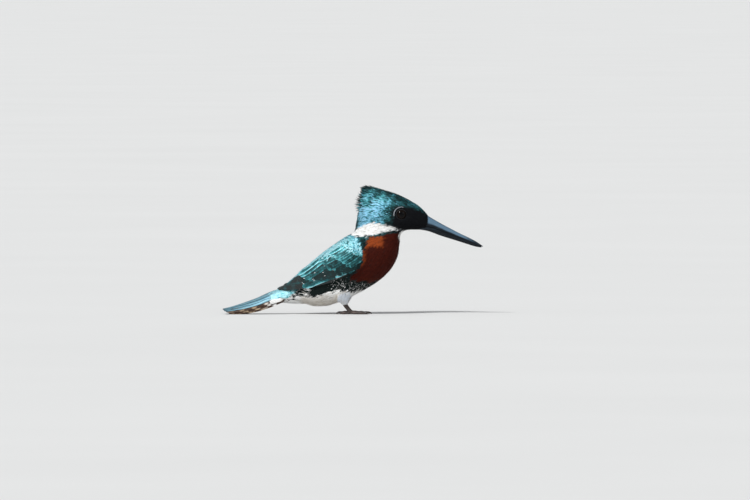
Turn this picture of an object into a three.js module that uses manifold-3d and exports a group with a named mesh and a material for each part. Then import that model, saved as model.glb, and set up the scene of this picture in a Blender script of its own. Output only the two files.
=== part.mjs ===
// A male green kingfisher standing at life size, in millimetres: +X along the bill, +Y to its left, +Z up.
// The plumage is modelled out to the feather tips. Every sub-part is a closed solid of its own.
// The soles and the underside of the tail rest on the floor at Z = 0.
import * as THREE from 'three';
import { LoftGeometry } from 'three/addons/geometries/LoftGeometry.js';
import { mergeVertices } from 'three/addons/utils/BufferGeometryUtils.js';
import Module from 'manifold-3d';

const wasm = await Module();
wasm.setup();

// ---------------------------------------------------------------------------------------------
// Driving dimensions
// ---------------------------------------------------------------------------------------------

const GAP = 0.3; // clearance between neighbouring solids
const AROUND = 26; // points around a body section
const FULLNESS = 0.9; // exponent of the body's sections: 1 is an ellipse, less is fuller
const BIG = 400; // side of a box that stands for half of space

const EYE = { at: [34.9, 8.2, 71.9], radius: 4.3, dish: [6.2, 3.4, 5.6], dishAside: 13.4 };
const WING_LIFT = 2.0; // how far a folded wing stands proud of the flank
const TAIL_THICK = 1.7; // thickness of the closed tail's stack of feathers
const TOE_RADIUS = 1.05;
const SHANK_RADIUS = 1.3;
const THIGH_ASIDE = 1.6; // how much further out than its foot a thigh lies
const FOOT = { ankle: [-5.2, 6.6], base: [-1.6, 1.7], aside: 7.2 };
const TOES = [
  { turn: -26, length: 8.6, thick: 0.9 }, // inner
  { turn: -4, length: 12.4, thick: 1 }, // middle
  { turn: 11, length: 11.0, thick: 0.95 }, // outer, joined to the middle toe near its root
  { turn: 172, length: 7.2, thick: 1 }, // hind
];
const CLAW = { length: 3.2, tip: 0.6, radii: [0.62, 0.5, 0.25] };

// ---------------------------------------------------------------------------------------------
// Materials
// ---------------------------------------------------------------------------------------------

const finish = (color, roughness, metalness = 0) =>
  new THREE.MeshStandardMaterial({ color, roughness, metalness });
const crownGreen = finish(0x1c5a5c, 0.45, 0.2);
const backGreen = finish(0x226a68, 0.45, 0.2);
const flightGreen = finish(0x17403f, 0.5, 0.1);
const collarWhite = finish(0xf2efe8, 0.8);
const breastRufous = finish(0x7a2a10, 0.7);
const bellyWhite = finish(0xe9e4db, 0.85);
const tailBlue = finish(0x3f8396, 0.45, 0.2);
const billBlack = finish(0x14161c, 0.3);
const eyeDark = finish(0x0c0908, 0.08);
const footGrey = finish(0x3b3634, 0.5);

// ---------------------------------------------------------------------------------------------
// Solids
// ---------------------------------------------------------------------------------------------

// A manifold solid from any closed three.js geometry.
function solid(geometry) {
  geometry.deleteAttribute('normal');
  geometry.deleteAttribute('uv');
  const merged = mergeVertices(new THREE.BufferGeometry().copy(geometry), 1e-4);
  const triVerts = new Uint32Array(merged.index.array);
  const vertProperties = new Float32Array(merged.attributes.position.array);
  return new wasm.Manifold(new wasm.Mesh({ numProp: 3, vertProperties, triVerts }));
}

// A capped loft through sections that run along it, each turned so that the faces point out.
function loft(sections) {
  const centre = (section) =>
    section.reduce((sum, p) => sum.add(p), new THREE.Vector3()).divideScalar(section.length);
  const from = centre(sections[0]);
  const along = centre(sections[1]).sub(from);
  const turn = new THREE.Vector3();
  sections[0].forEach((p, i) => {
    const next = sections[0][(i + 1) % sections[0].length];
    turn.add(p.clone().sub(from).cross(next.clone().sub(from)));
  });
  const ordered = turn.dot(along) > 0 ? sections : sections.map((section) => section.reverse());
  return solid(new LoftGeometry(ordered, { capStart: true, capEnd: true }));
}

const union = (...solids) => solids.reduce((all, one) => all.add(one));
const common = (...solids) => solids.reduce((all, one) => all.intersect(one));
const largest = (body) => body.decompose().sort((a, b) => b.volume() - a.volume())[0];
const mirrored = (body) => body.mirror([0, 1, 0]);

// The named mesh of a solid.
function mesh(name, body, material) {
  const { numProp, numVert, vertProperties, triVerts } = largest(body).getMesh();
  const position = new Float32Array(numVert * 3);
  for (let i = 0; i < numVert; i++) {
    position.set(vertProperties.subarray(i * numProp, i * numProp + 3), i * 3);
  }
  const geometry = new THREE.BufferGeometry();
  geometry.setAttribute('position', new THREE.BufferAttribute(position, 3));
  geometry.setIndex(new THREE.BufferAttribute(new Uint32Array(triVerts), 1));
  geometry.computeVertexNormals();
  const made = new THREE.Mesh(geometry, material);
  made.name = name;
  return made;
}

// The half of space beyond a plane in the direction `toward`, standing off it by `off`.
function beyond(point, toward, off = GAP / 2) {
  const normal = new THREE.Vector3(...toward).normalize();
  const box = new THREE.BoxGeometry(BIG, BIG, BIG);
  box.translate(0, 0, BIG / 2 + off);
  box.applyQuaternion(new THREE.Quaternion().setFromUnitVectors(new THREE.Vector3(0, 0, 1), normal));
  box.translate(...point);
  return solid(box);
}

// A point of the mid-plane, and the plane across the body through two such points.
const mid = ([x, z]) => new THREE.Vector3(x, 0, z);
function across([from, to], side) {
  const along = mid(to).sub(mid(from));
  return beyond([from[0], 0, from[1]], [-along.z * side, 0, along.x * side]);
}

// A side outline in X and Z, extruded across the body between two values of Y.
function sideways(outline, fromY, toY) {
  const shape = new THREE.Shape(outline.map(([x, z]) => new THREE.Vector2(x, z)));
  const block = new THREE.ExtrudeGeometry(shape, { depth: toY - fromY, bevelEnabled: false });
  block.rotateX(Math.PI / 2);
  block.translate(0, toY, 0);
  return solid(block);
}

// Stations run along a form. Each gives its section's top and bottom point in the mid-plane, half its
// width, and its pinch: how much narrower the section is above its middle than below.
const station = (top, bottom, half, pinch = 0) => ({ top, bottom, half, pinch });

function form(stations, { rings = 20, around = AROUND, fullness = FULLNESS, grow = 0 } = {}) {
  const tops = new THREE.CatmullRomCurve3(stations.map((s) => mid(s.top)));
  const bottoms = new THREE.CatmullRomCurve3(stations.map((s) => mid(s.bottom)));
  const widths = new THREE.CatmullRomCurve3(
    stations.map((s, i) => new THREE.Vector3(s.half, s.pinch, i * 10)),
  );
  const round = (x) => Math.sign(x) * Math.abs(x) ** fullness;
  const sections = [];
  for (let r = 0; r <= rings; r++) {
    const [top, bottom, width] = [tops, bottoms, widths].map((curve) => curve.getPoint(r / rings));
    const middle = top.clone().add(bottom).multiplyScalar(0.5);
    const up = top.sub(middle);
    up.setLength(up.length() + grow);
    const section = [];
    for (let i = 0; i < around; i++) {
      const angle = (i / around) * 2 * Math.PI;
      const height = round(Math.cos(angle));
      const point = middle.clone().addScaledVector(up, height);
      point.y = (width.x + grow) * round(Math.sin(angle)) * (1 - width.y * height);
      section.push(point);
    }
    sections.push(section);
  }
  return loft(sections);
}

// A round tube through points, with a radius at each.
function tube(points, radii, { rings = 12, around = 10 } = {}) {
  const path = new THREE.CatmullRomCurve3(points.map((p) => new THREE.Vector3(...p)));
  const sizes = new THREE.CatmullRomCurve3(radii.map((r, i) => new THREE.Vector3(i, r, 0)));
  const side = new THREE.Vector3(0, 1, 0);
  const sections = [];
  for (let r = 0; r <= rings; r++) {
    const t = r / rings;
    const centre = path.getPoint(t);
    const along = path.getTangent(t);
    const out = new THREE.Vector3().crossVectors(along, side).normalize();
    const over = new THREE.Vector3().crossVectors(out, along).normalize();
    const section = [];
    for (let i = 0; i < around; i++) {
      const angle = (i / around) * 2 * Math.PI;
      const radius = sizes.getPoint(t).y;
      section.push(
        centre
          .clone()
          .addScaledVector(out, radius * Math.cos(angle))
          .addScaledVector(over, radius * Math.sin(angle)),
      );
    }
    sections.push(section);
  }
  return loft(sections);
}

// ---------------------------------------------------------------------------------------------
// Body: one whole form, parted by thin cuts
// ---------------------------------------------------------------------------------------------

const TRUNK = [
  station([-63, 10.2], [-62, 7.6], 2.4),
  station([-56, 14.8], [-53, 7.2], 4.8),
  station([-48.5, 18.2], [-45, 8.2], 6.8),
  station([-41, 22.4], [-37, 7.6], 9.4),
  station([-33, 28.4], [-28.5, 5.2], 12.8),
  station([-24.6, 36.8], [-16, 5.9], 15.4),
  station([-16.2, 44.8], [-4, 10.6], 17),
  station([-8.6, 51.2], [9, 17], 17.6),
  station([-2.6, 55.6], [20, 24], 17.2),
  station([1, 59.6], [29, 33], 15.8, 0.05),
  station([3, 64], [34.2, 44.5], 13.6, 0.1),
  station([6, 69], [34.8, 58], 11.2, 0.1),
];

const HEAD = [
  station([7.6, 91], [1.6, 61], 1.4),
  station([9.8, 92.6], [4.2, 58.6], 5.6, 0.35),
  station([16, 91.9], [11, 56], 9.0, 0.34),
  station([22.4, 90.1], [19, 55.4], 10.6, 0.3),
  station([29.4, 88], [27, 56.6], 11.4, 0.26),
  station([35.3, 85.3], [34, 58.8], 11.2, 0.22),
  station([41.5, 82], [41, 60.1], 10.2, 0.18),
  station([47.5, 78.3], [47, 60.1], 8.4, 0.12),
  station([52.1, 74.2], [52, 60.0], 6.4, 0.05),
  station([54.9, 70.7], [54.9, 60.0], 4.9, 0),
];

const NECK_LINE = [[-6, 64.5], [38, 59.2]]; // under the cheeks, from the nape to the chin
const COLLAR_LINE = [[-8, 56.6], [38, 48.5]]; // where the neck sinks into the shoulders
const RUMP_LINE = [[-32, 2], [-37, 30]]; // across the body in front of the tail coverts
const BACK_LINE = [[-50, 13], [2, 51]]; // under the mantle, hidden by the wings
const BELLY_LINE = [[-40, 19], [30, 19]]; // below the spotted band
const CREST_LINE = [[-2, 70], [27, 90.5]]; // along the roots of the long crown feathers

const bodyForm = (grow) => union(form(TRUNK, { rings: 20, grow }), form(HEAD, { rings: 17, grow }));

function eyeball(side, grow = 0) {
  const ball = new THREE.SphereGeometry(EYE.radius + grow, 16, 9);
  ball.translate(EYE.at[0], side * EYE.at[1], EYE.at[2]);
  return solid(ball);
}

// The hollow that the feathers leave around an eye.
function eyeDish(side) {
  const dish = new THREE.SphereGeometry(1, 12, 8);
  dish.scale(...EYE.dish);
  dish.translate(EYE.at[0], side * EYE.dishAside, EYE.at[2]);
  return solid(dish);
}

const whole = bodyForm(0);
const swollen = bodyForm(GAP);
const sides = [-1, 1];
const eyeHollows = union(...sides.map(eyeDish), ...sides.map((side) => eyeball(side, GAP)));
const skull = whole.subtract(eyeHollows).intersect(across(NECK_LINE, 1));
const trunk = common(whole, across(COLLAR_LINE, -1), across(RUMP_LINE, -1));

// ---------------------------------------------------------------------------------------------
// Bill: one form, parted along the line where the two halves meet
// ---------------------------------------------------------------------------------------------

const BILL = [
  station([48, 75], [48, 61], 5.4),
  station([54.6, 70.6], [54.6, 59.6], 4.8, 0.12),
  station([63.4, 65.4], [62.6, 56.7], 3.9, 0.15),
  station([71.1, 61.3], [70.4, 54.2], 3.15, 0.15),
  station([77.5, 58], [76.9, 52.2], 2.5, 0.12),
  station([84, 54.9], [83.4, 50.1], 1.85, 0.1),
  station([89.4, 52], [88.8, 48.5], 1.2, 0.05),
  station([93.9, 48.9], [93.5, 47.8], 0.35),
];
const GAPE_LINE = [[40, 62.6], [54.6, 63.4], [71, 57.3], [84, 52.2], [96, 47.6]];

function ribbon(points, thick, halfWidth) {
  const lower = points.map(([x, z]) => [x, z - thick / 2]);
  const upper = points.map(([x, z]) => [x, z + thick / 2]).reverse();
  return sideways([...lower, ...upper], -halfWidth, halfWidth);
}

const billForm = form(BILL, { rings: 13, around: 18, fullness: 1 }).subtract(swollen);
const [billUpper, billLower] = billForm
  .subtract(ribbon(GAPE_LINE, GAP, BIG / 2))
  .decompose()
  .sort((a, b) => b.volume() - a.volume())
  .slice(0, 2)
  .sort((a, b) => b.boundingBox().max[2] - a.boundingBox().max[2]);

// ---------------------------------------------------------------------------------------------
// Wings: a folded wing is the shell over the flank inside its side outline
// ---------------------------------------------------------------------------------------------

const WING_SHELL = [
  station([-53.8, 19.2], [-52.8, 16.4], 3.4),
  station([-47, 24.2], [-43, 12], 8.6),
  station([-38.5, 31.6], [-33, 7], 13.2),
  station([-29.6, 39], [-22, 5], 16.2),
  station([-19.6, 47.2], [-8, 7], 17.4 + WING_LIFT / 2),
  station([-10, 54.2], [7, 14], 17.6 + WING_LIFT),
  station([-2.6, 58.8], [19, 21], 17.4 + WING_LIFT * 0.6),
  station([3, 62.6], [28, 30], 15.9),
  station([8, 65.6], [34, 40], 12.6),
];
const WING_OUTLINE = [
  [1, 59], [6.5, 55.4], [9.4, 50], [9.8, 43], [8.4, 36.4], [4, 30.4], [-3, 27], [-12, 24.6],
  [-22, 21.4], [-30, 18.4], [-38, 16.8], [-54, 17], [-56, 22], [-44, 32], [-28, 48], [-10, 60],
];
const WING_TIP_LINE = [[-28, 8], [-38.5, 36]]; // where the long primaries clear the coverts
const WING_INNER = { at: [8, 6.5], tip: [-53, 0.2] }; // X and Y of the inner edge over the back

function wingPanel() {
  const { at, tip } = WING_INNER;
  const inner = beyond([tip[0], tip[1], 0], [tip[1] - at[1], at[0] - tip[0], 0]);
  return common(form(WING_SHELL), sideways(WING_OUTLINE, 0, BIG / 2), inner);
}

const panel = wingPanel().subtract(swollen);
const wing = panel.intersect(across(WING_TIP_LINE, -1));
const primaries = panel.intersect(across(WING_TIP_LINE, 1));

// ---------------------------------------------------------------------------------------------
// Tail: an arched stack of feathers, open underneath
// ---------------------------------------------------------------------------------------------

// Each station gives X, the height of the ridge, half the width, and how far the sides drop.
const TAIL = [
  { x: -45, ridge: 20.2, half: 6.6, drop: 9.0 },
  { x: -58.7, ridge: 16.0, half: 7.6, drop: 10.2 },
  { x: -69.3, ridge: 11.4, half: 8.4, drop: 8.7 },
  { x: -78.6, ridge: 8.2, half: 8.9, drop: 6.8 },
  { x: -87, ridge: 5.6, half: 9.0, drop: 4.3 },
  { x: -94.5, ridge: 3.6, half: 8.6, drop: 2.6 },
];
const TAIL_ARC = 8; // steps over the arch
const TAIL_RINGS = 9;
const TAIL_END = { tip: -93.9, side: -87.5, half: 10 }; // seen from above: the outer feathers are shorter

function tailArch() {
  const shape = new THREE.CatmullRomCurve3(
    TAIL.map((s) => new THREE.Vector3(s.half, s.drop, s.ridge)),
  );
  const line = new THREE.CatmullRomCurve3(TAIL.map((s) => new THREE.Vector3(s.x, 0, 0)));
  const sections = [];
  for (let r = 0; r <= TAIL_RINGS; r++) {
    const { x: half, y: drop, z: ridge } = shape.getPoint(r / TAIL_RINGS);
    const { x } = line.getPoint(r / TAIL_RINGS);
    const arc = (sunk) => {
      const points = [];
      for (let i = 0; i <= TAIL_ARC; i++) {
        const share = (i / TAIL_ARC) * 2 - 1;
        const y = (half - sunk * 0.8) * Math.sin((share * Math.PI) / 2);
        points.push(new THREE.Vector3(x, y, ridge - sunk - drop * Math.abs(share) ** 1.7));
      }
      return points;
    };
    sections.push([...arc(0), ...arc(TAIL_THICK).reverse()]);
  }
  return loft(sections);
}

// The tail seen from above, straight at its root and round at its tip, as a tall block.
function tailPlan() {
  const { tip, side, half } = TAIL_END;
  const shape = new THREE.Shape();
  shape.moveTo(0, -half).lineTo(side, -half);
  shape.absellipse(side, 0, side - tip, half, -Math.PI / 2, Math.PI / 2, true);
  shape.lineTo(0, half);
  const block = new THREE.ExtrudeGeometry(shape, { depth: BIG, bevelEnabled: false, curveSegments: 12 });
  return solid(block);
}

const tail = common(tailArch(), tailPlan())
  .subtract(swollen)
  .subtract(form(WING_SHELL, { grow: GAP }));

// ---------------------------------------------------------------------------------------------
// Legs: a feathered thigh, then the bare foot with its four toes
// ---------------------------------------------------------------------------------------------

const THIGH = [
  station([2, 25], [-16, 24], 7.0),
  station([1.4, 17.6], [-14, 15], 6.6),
  station([-0.6, 11.2], [-10.4, 9], 4.6),
  station([-2.9, 6.4], [-7.4, 6], 2.2),
];

function thigh(side) {
  return form(THIGH, { rings: 7, around: 14 }).translate([0, side * (FOOT.aside + THIGH_ASIDE), 0]);
}

function toe({ turn, length, thick }) {
  const angle = THREE.MathUtils.degToRad(turn);
  const [baseX, baseZ] = FOOT.base;
  const at = (reach, z) => [baseX + reach * Math.cos(angle), reach * Math.sin(angle), z];
  const radius = TOE_RADIUS * thick;
  const pads = [
    at(-0.6, baseZ),
    at(length * 0.35, radius * 0.75),
    at(length * 0.7, radius * 0.7),
    at(length, radius * 0.8),
  ];
  const claw = [
    at(length - 0.8, radius),
    at(length + CLAW.length / 2, radius),
    at(length + CLAW.length, CLAW.tip),
  ];
  return union(
    tube(pads, [radius * 1.1, radius * 0.95, radius * 0.9, radius * 0.75], { rings: 3, around: 6 }),
    tube(claw, CLAW.radii, { rings: 2, around: 5 }),
  );
}

function foot(side) {
  const [ankleX, ankleZ] = FOOT.ankle;
  const [baseX, baseZ] = FOOT.base;
  const shank = tube(
    [[ankleX - 0.4, 0, ankleZ + 0.8], [ankleX, 0, ankleZ], [baseX, 0, baseZ]],
    [SHANK_RADIUS, SHANK_RADIUS, SHANK_RADIUS],
    { rings: 3, around: 8 },
  );
  const aboveFloor = beyond([0, 0, 0], [0, 0, 1], 0);
  const left = common(union(shank, ...TOES.map(toe)), aboveFloor).translate([0, FOOT.aside, 0]);
  return side > 0 ? left : mirrored(left);
}

// ---------------------------------------------------------------------------------------------
// The bird
// ---------------------------------------------------------------------------------------------

const bird = new THREE.Group();

bird.add(
  mesh('head', skull.intersect(across(CREST_LINE, -1)), crownGreen),
  mesh('crest', skull.intersect(across(CREST_LINE, 1)), crownGreen),
  mesh('neck', common(whole, across(NECK_LINE, -1), across(COLLAR_LINE, 1)), collarWhite),
  mesh('back', common(trunk, across(BACK_LINE, 1)), backGreen),
  mesh('breast', common(trunk, across(BACK_LINE, -1), across(BELLY_LINE, 1)), breastRufous),
  mesh('belly', common(trunk, across(BACK_LINE, -1), across(BELLY_LINE, -1)), bellyWhite),
  mesh('rump', common(whole, across(COLLAR_LINE, -1), across(RUMP_LINE, 1)), bellyWhite),
  mesh('bill_upper', billUpper, billBlack),
  mesh('bill_lower', billLower, billBlack),
  mesh('tail', tail, tailBlue),
);

for (const [name, side] of [['right', -1], ['left', 1]]) {
  const onSide = (body) => (side > 0 ? body : mirrored(body));
  const leg = foot(side);
  bird.add(
    mesh(`eye_${name}`, eyeball(side), eyeDark),
    mesh(`wing_${name}`, onSide(wing), backGreen),
    mesh(`primaries_${name}`, onSide(primaries), flightGreen),
    mesh(`thigh_${name}`, thigh(side).subtract(swollen).subtract(leg), bellyWhite),
    mesh(`foot_${name}`, leg, footGrey),
  );
}

export default bird;
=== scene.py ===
# A male green kingfisher as a museum model: one skin, a coat of modelled feathers, bill, eyes and feet.
# Lengths are in millimetres until a mesh is made: +X along the bill, +Y to the bird's left, +Z up.
import math

import bpy
import numpy as np
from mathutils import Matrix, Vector
from mathutils.bvhtree import BVHTree


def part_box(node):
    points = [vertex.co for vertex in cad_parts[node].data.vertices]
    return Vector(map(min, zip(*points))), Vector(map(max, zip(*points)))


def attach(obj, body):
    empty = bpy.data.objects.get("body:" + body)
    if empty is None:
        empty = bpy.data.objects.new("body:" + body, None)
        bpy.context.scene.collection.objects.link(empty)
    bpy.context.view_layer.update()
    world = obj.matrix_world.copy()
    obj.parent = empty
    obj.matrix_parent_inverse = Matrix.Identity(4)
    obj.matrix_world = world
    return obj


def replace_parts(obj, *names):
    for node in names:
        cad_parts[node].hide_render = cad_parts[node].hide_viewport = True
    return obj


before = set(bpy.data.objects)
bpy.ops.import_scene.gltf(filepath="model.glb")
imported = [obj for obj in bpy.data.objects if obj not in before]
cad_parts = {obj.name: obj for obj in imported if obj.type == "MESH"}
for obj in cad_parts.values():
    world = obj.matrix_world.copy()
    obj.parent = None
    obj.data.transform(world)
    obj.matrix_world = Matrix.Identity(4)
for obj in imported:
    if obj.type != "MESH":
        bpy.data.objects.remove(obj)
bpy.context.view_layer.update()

MM = 0.001
SIDES = {"right": -1, "left": 1}  # the sign of Y
FLOOR_CLEARANCE = 0.02


# ---------------------------------------------------------------------------------------------
# Shaders: values that add their own nodes
# ---------------------------------------------------------------------------------------------

class Value:
    """A socket of a finish. Arithmetic on it adds Math nodes."""

    def __init__(self, finish, socket):
        self.finish = finish
        self.socket = socket

    def math(self, operation, a, b):
        return self.finish.node("ShaderNodeMath", {"operation": operation}, {0: a, 1: b})

    def __add__(self, other):
        return self.math("ADD", self, other)

    def __sub__(self, other):
        return self.math("SUBTRACT", self, other)

    def __rsub__(self, other):
        return self.math("SUBTRACT", other, self)

    def __mul__(self, other):
        return self.math("MULTIPLY", self, other)

    __radd__ = __add__
    __rmul__ = __mul__

    def over(self, low, high):
        """0 below low, 1 above high, and a smooth rise between them."""
        return self.finish.node(
            "ShaderNodeMapRange",
            {"interpolation_type": "SMOOTHSTEP"},
            {"Value": self, "From Min": low, "From Max": high},
        )

    def wave(self):
        return self.math("SINE", self, 0.0)

    def part(self):
        """What is left past the last whole number."""
        return self.math("FRACT", self, 0.0)

    def size(self):
        return self.math("ABSOLUTE", self, 0.0)


class Finish:
    """A material in the making, on one Principled shader."""

    def __init__(self, name, **constants):
        self.material = bpy.data.materials.new(name)
        self.material.use_nodes = True
        self.nodes = self.material.node_tree.nodes
        self.links = self.material.node_tree.links
        self.shader = self.nodes["Principled BSDF"]
        for socket, value in constants.items():
            self.shader.inputs[socket.replace("_", " ")].default_value = value

    def node(self, kind, settings, inputs, output=0):
        made = self.nodes.new(kind)
        for name, value in settings.items():
            setattr(made, name, value)
        for socket, value in inputs.items():
            self.feed(made.inputs[socket], value)
        return Value(self, made.outputs[output])

    def feed(self, socket, value):
        if isinstance(value, Value):
            self.links.new(value.socket, socket)
        elif socket.type == "RGBA":
            socket.default_value = (*value, 1.0)
        else:
            socket.default_value = value

    def carried(self, name):
        """A number that the mesh carries at every point."""
        return self.node("ShaderNodeAttribute", {"attribute_name": name}, {}, "Fac")

    def place(self):
        return self.node("ShaderNodeTexCoord", {}, {}, "Object")

    def stretched(self, scale):
        return self.node("ShaderNodeVectorMath", {"operation": "MULTIPLY"}, {0: self.place(), 1: scale})

    def noise(self, vector, scale, detail=3.0, roughness=0.5):
        inputs = {"Vector": vector, "Scale": scale, "Detail": detail, "Roughness": roughness}
        return self.node("ShaderNodeTexNoise", {}, inputs, "Fac")

    def mix(self, share, first, second):
        """From the first colour to the second. Sockets 6 and 7, and output 2, are the node's colours."""
        return self.node("ShaderNodeMix", {"data_type": "RGBA"}, {0: share, 6: first, 7: second}, 2)

    def bump(self, height, distance, strength=1.0):
        inputs = {"Height": height, "Distance": distance * MM, "Strength": strength}
        return self.node("ShaderNodeBump", {}, inputs, "Normal")

    def surface(self, **inputs):
        for socket, value in inputs.items():
            self.feed(self.shader.inputs[socket.replace("_", " ")], value)
        return self.material


# ---------------------------------------------------------------------------------------------
# Shapes
# ---------------------------------------------------------------------------------------------

def unit(vectors):
    return vectors / np.maximum(np.linalg.norm(vectors, axis=-1, keepdims=True), 1e-9)


def smooth(value, low, high):
    share = np.clip((value - low) / (high - low), 0, 1)
    return share * share * (3 - 2 * share)


def lerp(a, b, share):
    return a + (b - a) * share


def placed(name, data):
    """A new object in the scene."""
    made = bpy.data.objects.new(name, data)
    bpy.context.scene.collection.objects.link(made)
    return made


def piece(name, points, faces, material, carries=None, uv=None, normals=None):
    """A piece of the bird from points in millimetres and faces of four corners, or of three and a -1."""
    mesh = bpy.data.meshes.new(name)
    corners = faces[faces >= 0].astype(np.int32)
    sides = (faces >= 0).sum(1)
    mesh.vertices.add(len(points))
    mesh.vertices.foreach_set("co", (points * MM).astype(np.float32).ravel())
    mesh.loops.add(len(corners))
    mesh.loops.foreach_set("vertex_index", corners)
    mesh.polygons.add(len(faces))
    mesh.polygons.foreach_set("loop_start", (np.cumsum(sides) - sides).astype(np.int32))
    mesh.polygons.foreach_set("use_smooth", np.ones(len(faces), bool))
    mesh.update(calc_edges=True)
    for word, values in (carries or {}).items():
        layer = mesh.attributes.new(word, "FLOAT", "POINT")
        layer.data.foreach_set("value", np.ascontiguousarray(values, np.float32))
    if uv is not None:
        layer = mesh.uv_layers.new(name="OFBake")
        layer.data.foreach_set("uv", uv[corners].astype(np.float32).ravel())
    if normals is not None:
        mesh.normals_split_custom_set_from_vertices(normals.astype(np.float32))
    mesh.materials.append(material)
    made = placed(name, mesh)
    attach(made, "root")
    return made


def solid_of(node):
    """The welded points and triangles of a frame node."""
    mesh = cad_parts[node].data
    mesh.calc_loop_triangles()
    points = np.empty(len(mesh.vertices) * 3, np.float32)
    mesh.vertices.foreach_get("co", points)
    corners = np.empty(len(mesh.loop_triangles) * 3, np.int32)
    mesh.loop_triangles.foreach_get("vertices", corners)
    points, index = np.unique(np.round(points.reshape(-1, 3) / MM, 3), axis=0, return_inverse=True)
    return points, index.ravel()[corners].reshape(-1, 3)


def normals_of(points, triangles):
    a, b, c = (points[triangles[:, i]] for i in range(3))
    turned = np.cross(b - a, c - a)
    total = np.zeros_like(points)
    for i in range(3):
        np.add.at(total, triangles[:, i], turned)
    return unit(total)


def tree_of(points, triangles):
    return BVHTree.FromPolygons(points.tolist(), triangles.tolist())


def remeshed(points, triangles, voxel):
    """One even mesh round all the given closed shapes: its points and its quads."""
    mesh = bpy.data.meshes.new("blank")
    mesh.from_pydata(points.tolist(), [], triangles.tolist())
    blank = placed("blank", mesh)
    remesh = blank.modifiers.new("even", "REMESH")
    remesh.mode = "VOXEL"
    remesh.voxel_size = voxel
    even = blank.evaluated_get(bpy.context.evaluated_depsgraph_get()).to_mesh()
    found = np.empty(len(even.vertices) * 3, np.float32)
    even.vertices.foreach_get("co", found)
    loops = np.empty(len(even.loops), np.int32)
    even.loops.foreach_get("vertex_index", loops)
    bpy.data.objects.remove(blank)
    return found.reshape(-1, 3).astype(float), loops.reshape(-1, 4)


def outermost(points, quads):
    """Only the outer one of a mesh's loose shells."""
    edges = np.concatenate([quads[:, [i, (i + 1) % 4]] for i in range(4)])
    label = np.arange(len(points))
    changed = True
    while changed:
        low = np.minimum(label[edges[:, 0]], label[edges[:, 1]])
        fresh = label.copy()
        np.minimum.at(fresh, edges[:, 0], low)
        np.minimum.at(fresh, edges[:, 1], low)
        fresh = fresh[fresh]
        changed = bool((fresh != label).any())
        label = fresh
    keep = label == np.bincount(label).argmax()
    index = np.cumsum(keep) - 1
    return points[keep], index[quads[keep[quads[:, 0]]]]


def relaxed(points, quads, rounds):
    """Points moved halfway to the middle of their neighbours, that many times."""
    edges = np.concatenate([quads[:, [i, (i + 1) % 4]] for i in range(4)])
    count = np.bincount(edges.ravel(), minlength=len(points))[:, None]
    for _ in range(rounds):
        total = np.zeros_like(points)
        np.add.at(total, edges[:, 0], points[edges[:, 1]])
        np.add.at(total, edges[:, 1], points[edges[:, 0]])
        points = lerp(points, total / count, 0.5)
    return points


def halves(quads):
    return np.concatenate([quads[:, [0, 1, 2]], quads[:, [0, 2, 3]]])


def joined(shapes):
    """Many (points, faces) as one."""
    offsets = np.cumsum([0] + [len(points) for points, _ in shapes[:-1]])
    faces = [np.where(faces < 0, -1, faces + offset) for (_, faces), offset in zip(shapes, offsets)]
    return np.concatenate([points for points, _ in shapes]), np.concatenate(faces)


def mirrored(points, faces):
    """The same shape on the bird's other side."""
    turned = faces[:, ::-1]
    return points * [1, -1, 1], np.where(faces[:, 3:] < 0, np.roll(turned, -1, 1), turned)


def curve(table, at):
    """Smooth values between the rows of a table, read against its first column."""
    table = np.asarray(table, float)
    knots, values = table[:, 0], table[:, 1:]
    slope = np.gradient(values, knots, axis=0)
    at = np.asarray(at, float)
    i = np.clip(np.searchsorted(knots, at) - 1, 0, len(knots) - 2)
    step = (knots[i + 1] - knots[i])[..., None]
    t = ((at - knots[i]) / (knots[i + 1] - knots[i]))[..., None]
    return (
        values[i] * (2 * t ** 3 - 3 * t ** 2 + 1) + values[i + 1] * (3 * t ** 2 - 2 * t ** 3)
        + slope[i] * step * (t ** 3 - 2 * t ** 2 + t) + slope[i + 1] * step * (t ** 3 - t ** 2)
    )


def loft(rings, start, end):
    """A closed shape through rings of points, pointed at both ends."""
    steps, around = rings.shape[:2]
    ring = 1 + np.arange(steps * around).reshape(steps, around)
    turned = np.roll(ring, -1, 1)
    sides = np.stack([ring[:-1], turned[:-1], turned[1:], ring[1:]], 2).reshape(-1, 4)
    none = np.full(around, -1)
    first = np.stack([np.zeros(around, int), turned[0], ring[0], none], 1)
    last = np.stack([np.full(around, steps * around + 1), ring[-1], turned[-1], none], 1)
    return np.concatenate([[start], rings.reshape(-1, 3), [end]]), np.concatenate([first, sides, last])


def circle(around):
    """The two sides of that many directions round a circle."""
    turn = np.linspace(0, 2 * math.pi, around, endpoint=False)
    return np.cos(turn)[:, None], np.sin(turn)[:, None]


def tube(path, radii, steps, around, swell=None):
    """A round rod along a smooth path. swell changes its radius by the share of its length."""
    at = np.linspace(0, 1, steps)
    knots = np.linspace(0, 1, len(path))
    spine = curve(np.column_stack([knots, path]), at)
    radius = curve(np.column_stack([knots, radii]), at)[:, 0]
    if swell is not None:
        radius = radius * swell(at)
    tangent = unit(np.gradient(spine, axis=0))
    aside = unit(np.cross([0, 0, 1], tangent))
    above = np.cross(tangent, aside)
    across, up = circle(around)
    rings = spine[:, None] + radius[:, None, None] * (aside[:, None] * across + above[:, None] * up)
    reach = tangent * radius[:, None] * 0.5
    return loft(rings, spine[0] - reach[0], spine[-1] + reach[-1])


# ---------------------------------------------------------------------------------------------
# Markings: how much of each colour belongs at a place on the skin
# ---------------------------------------------------------------------------------------------

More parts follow.
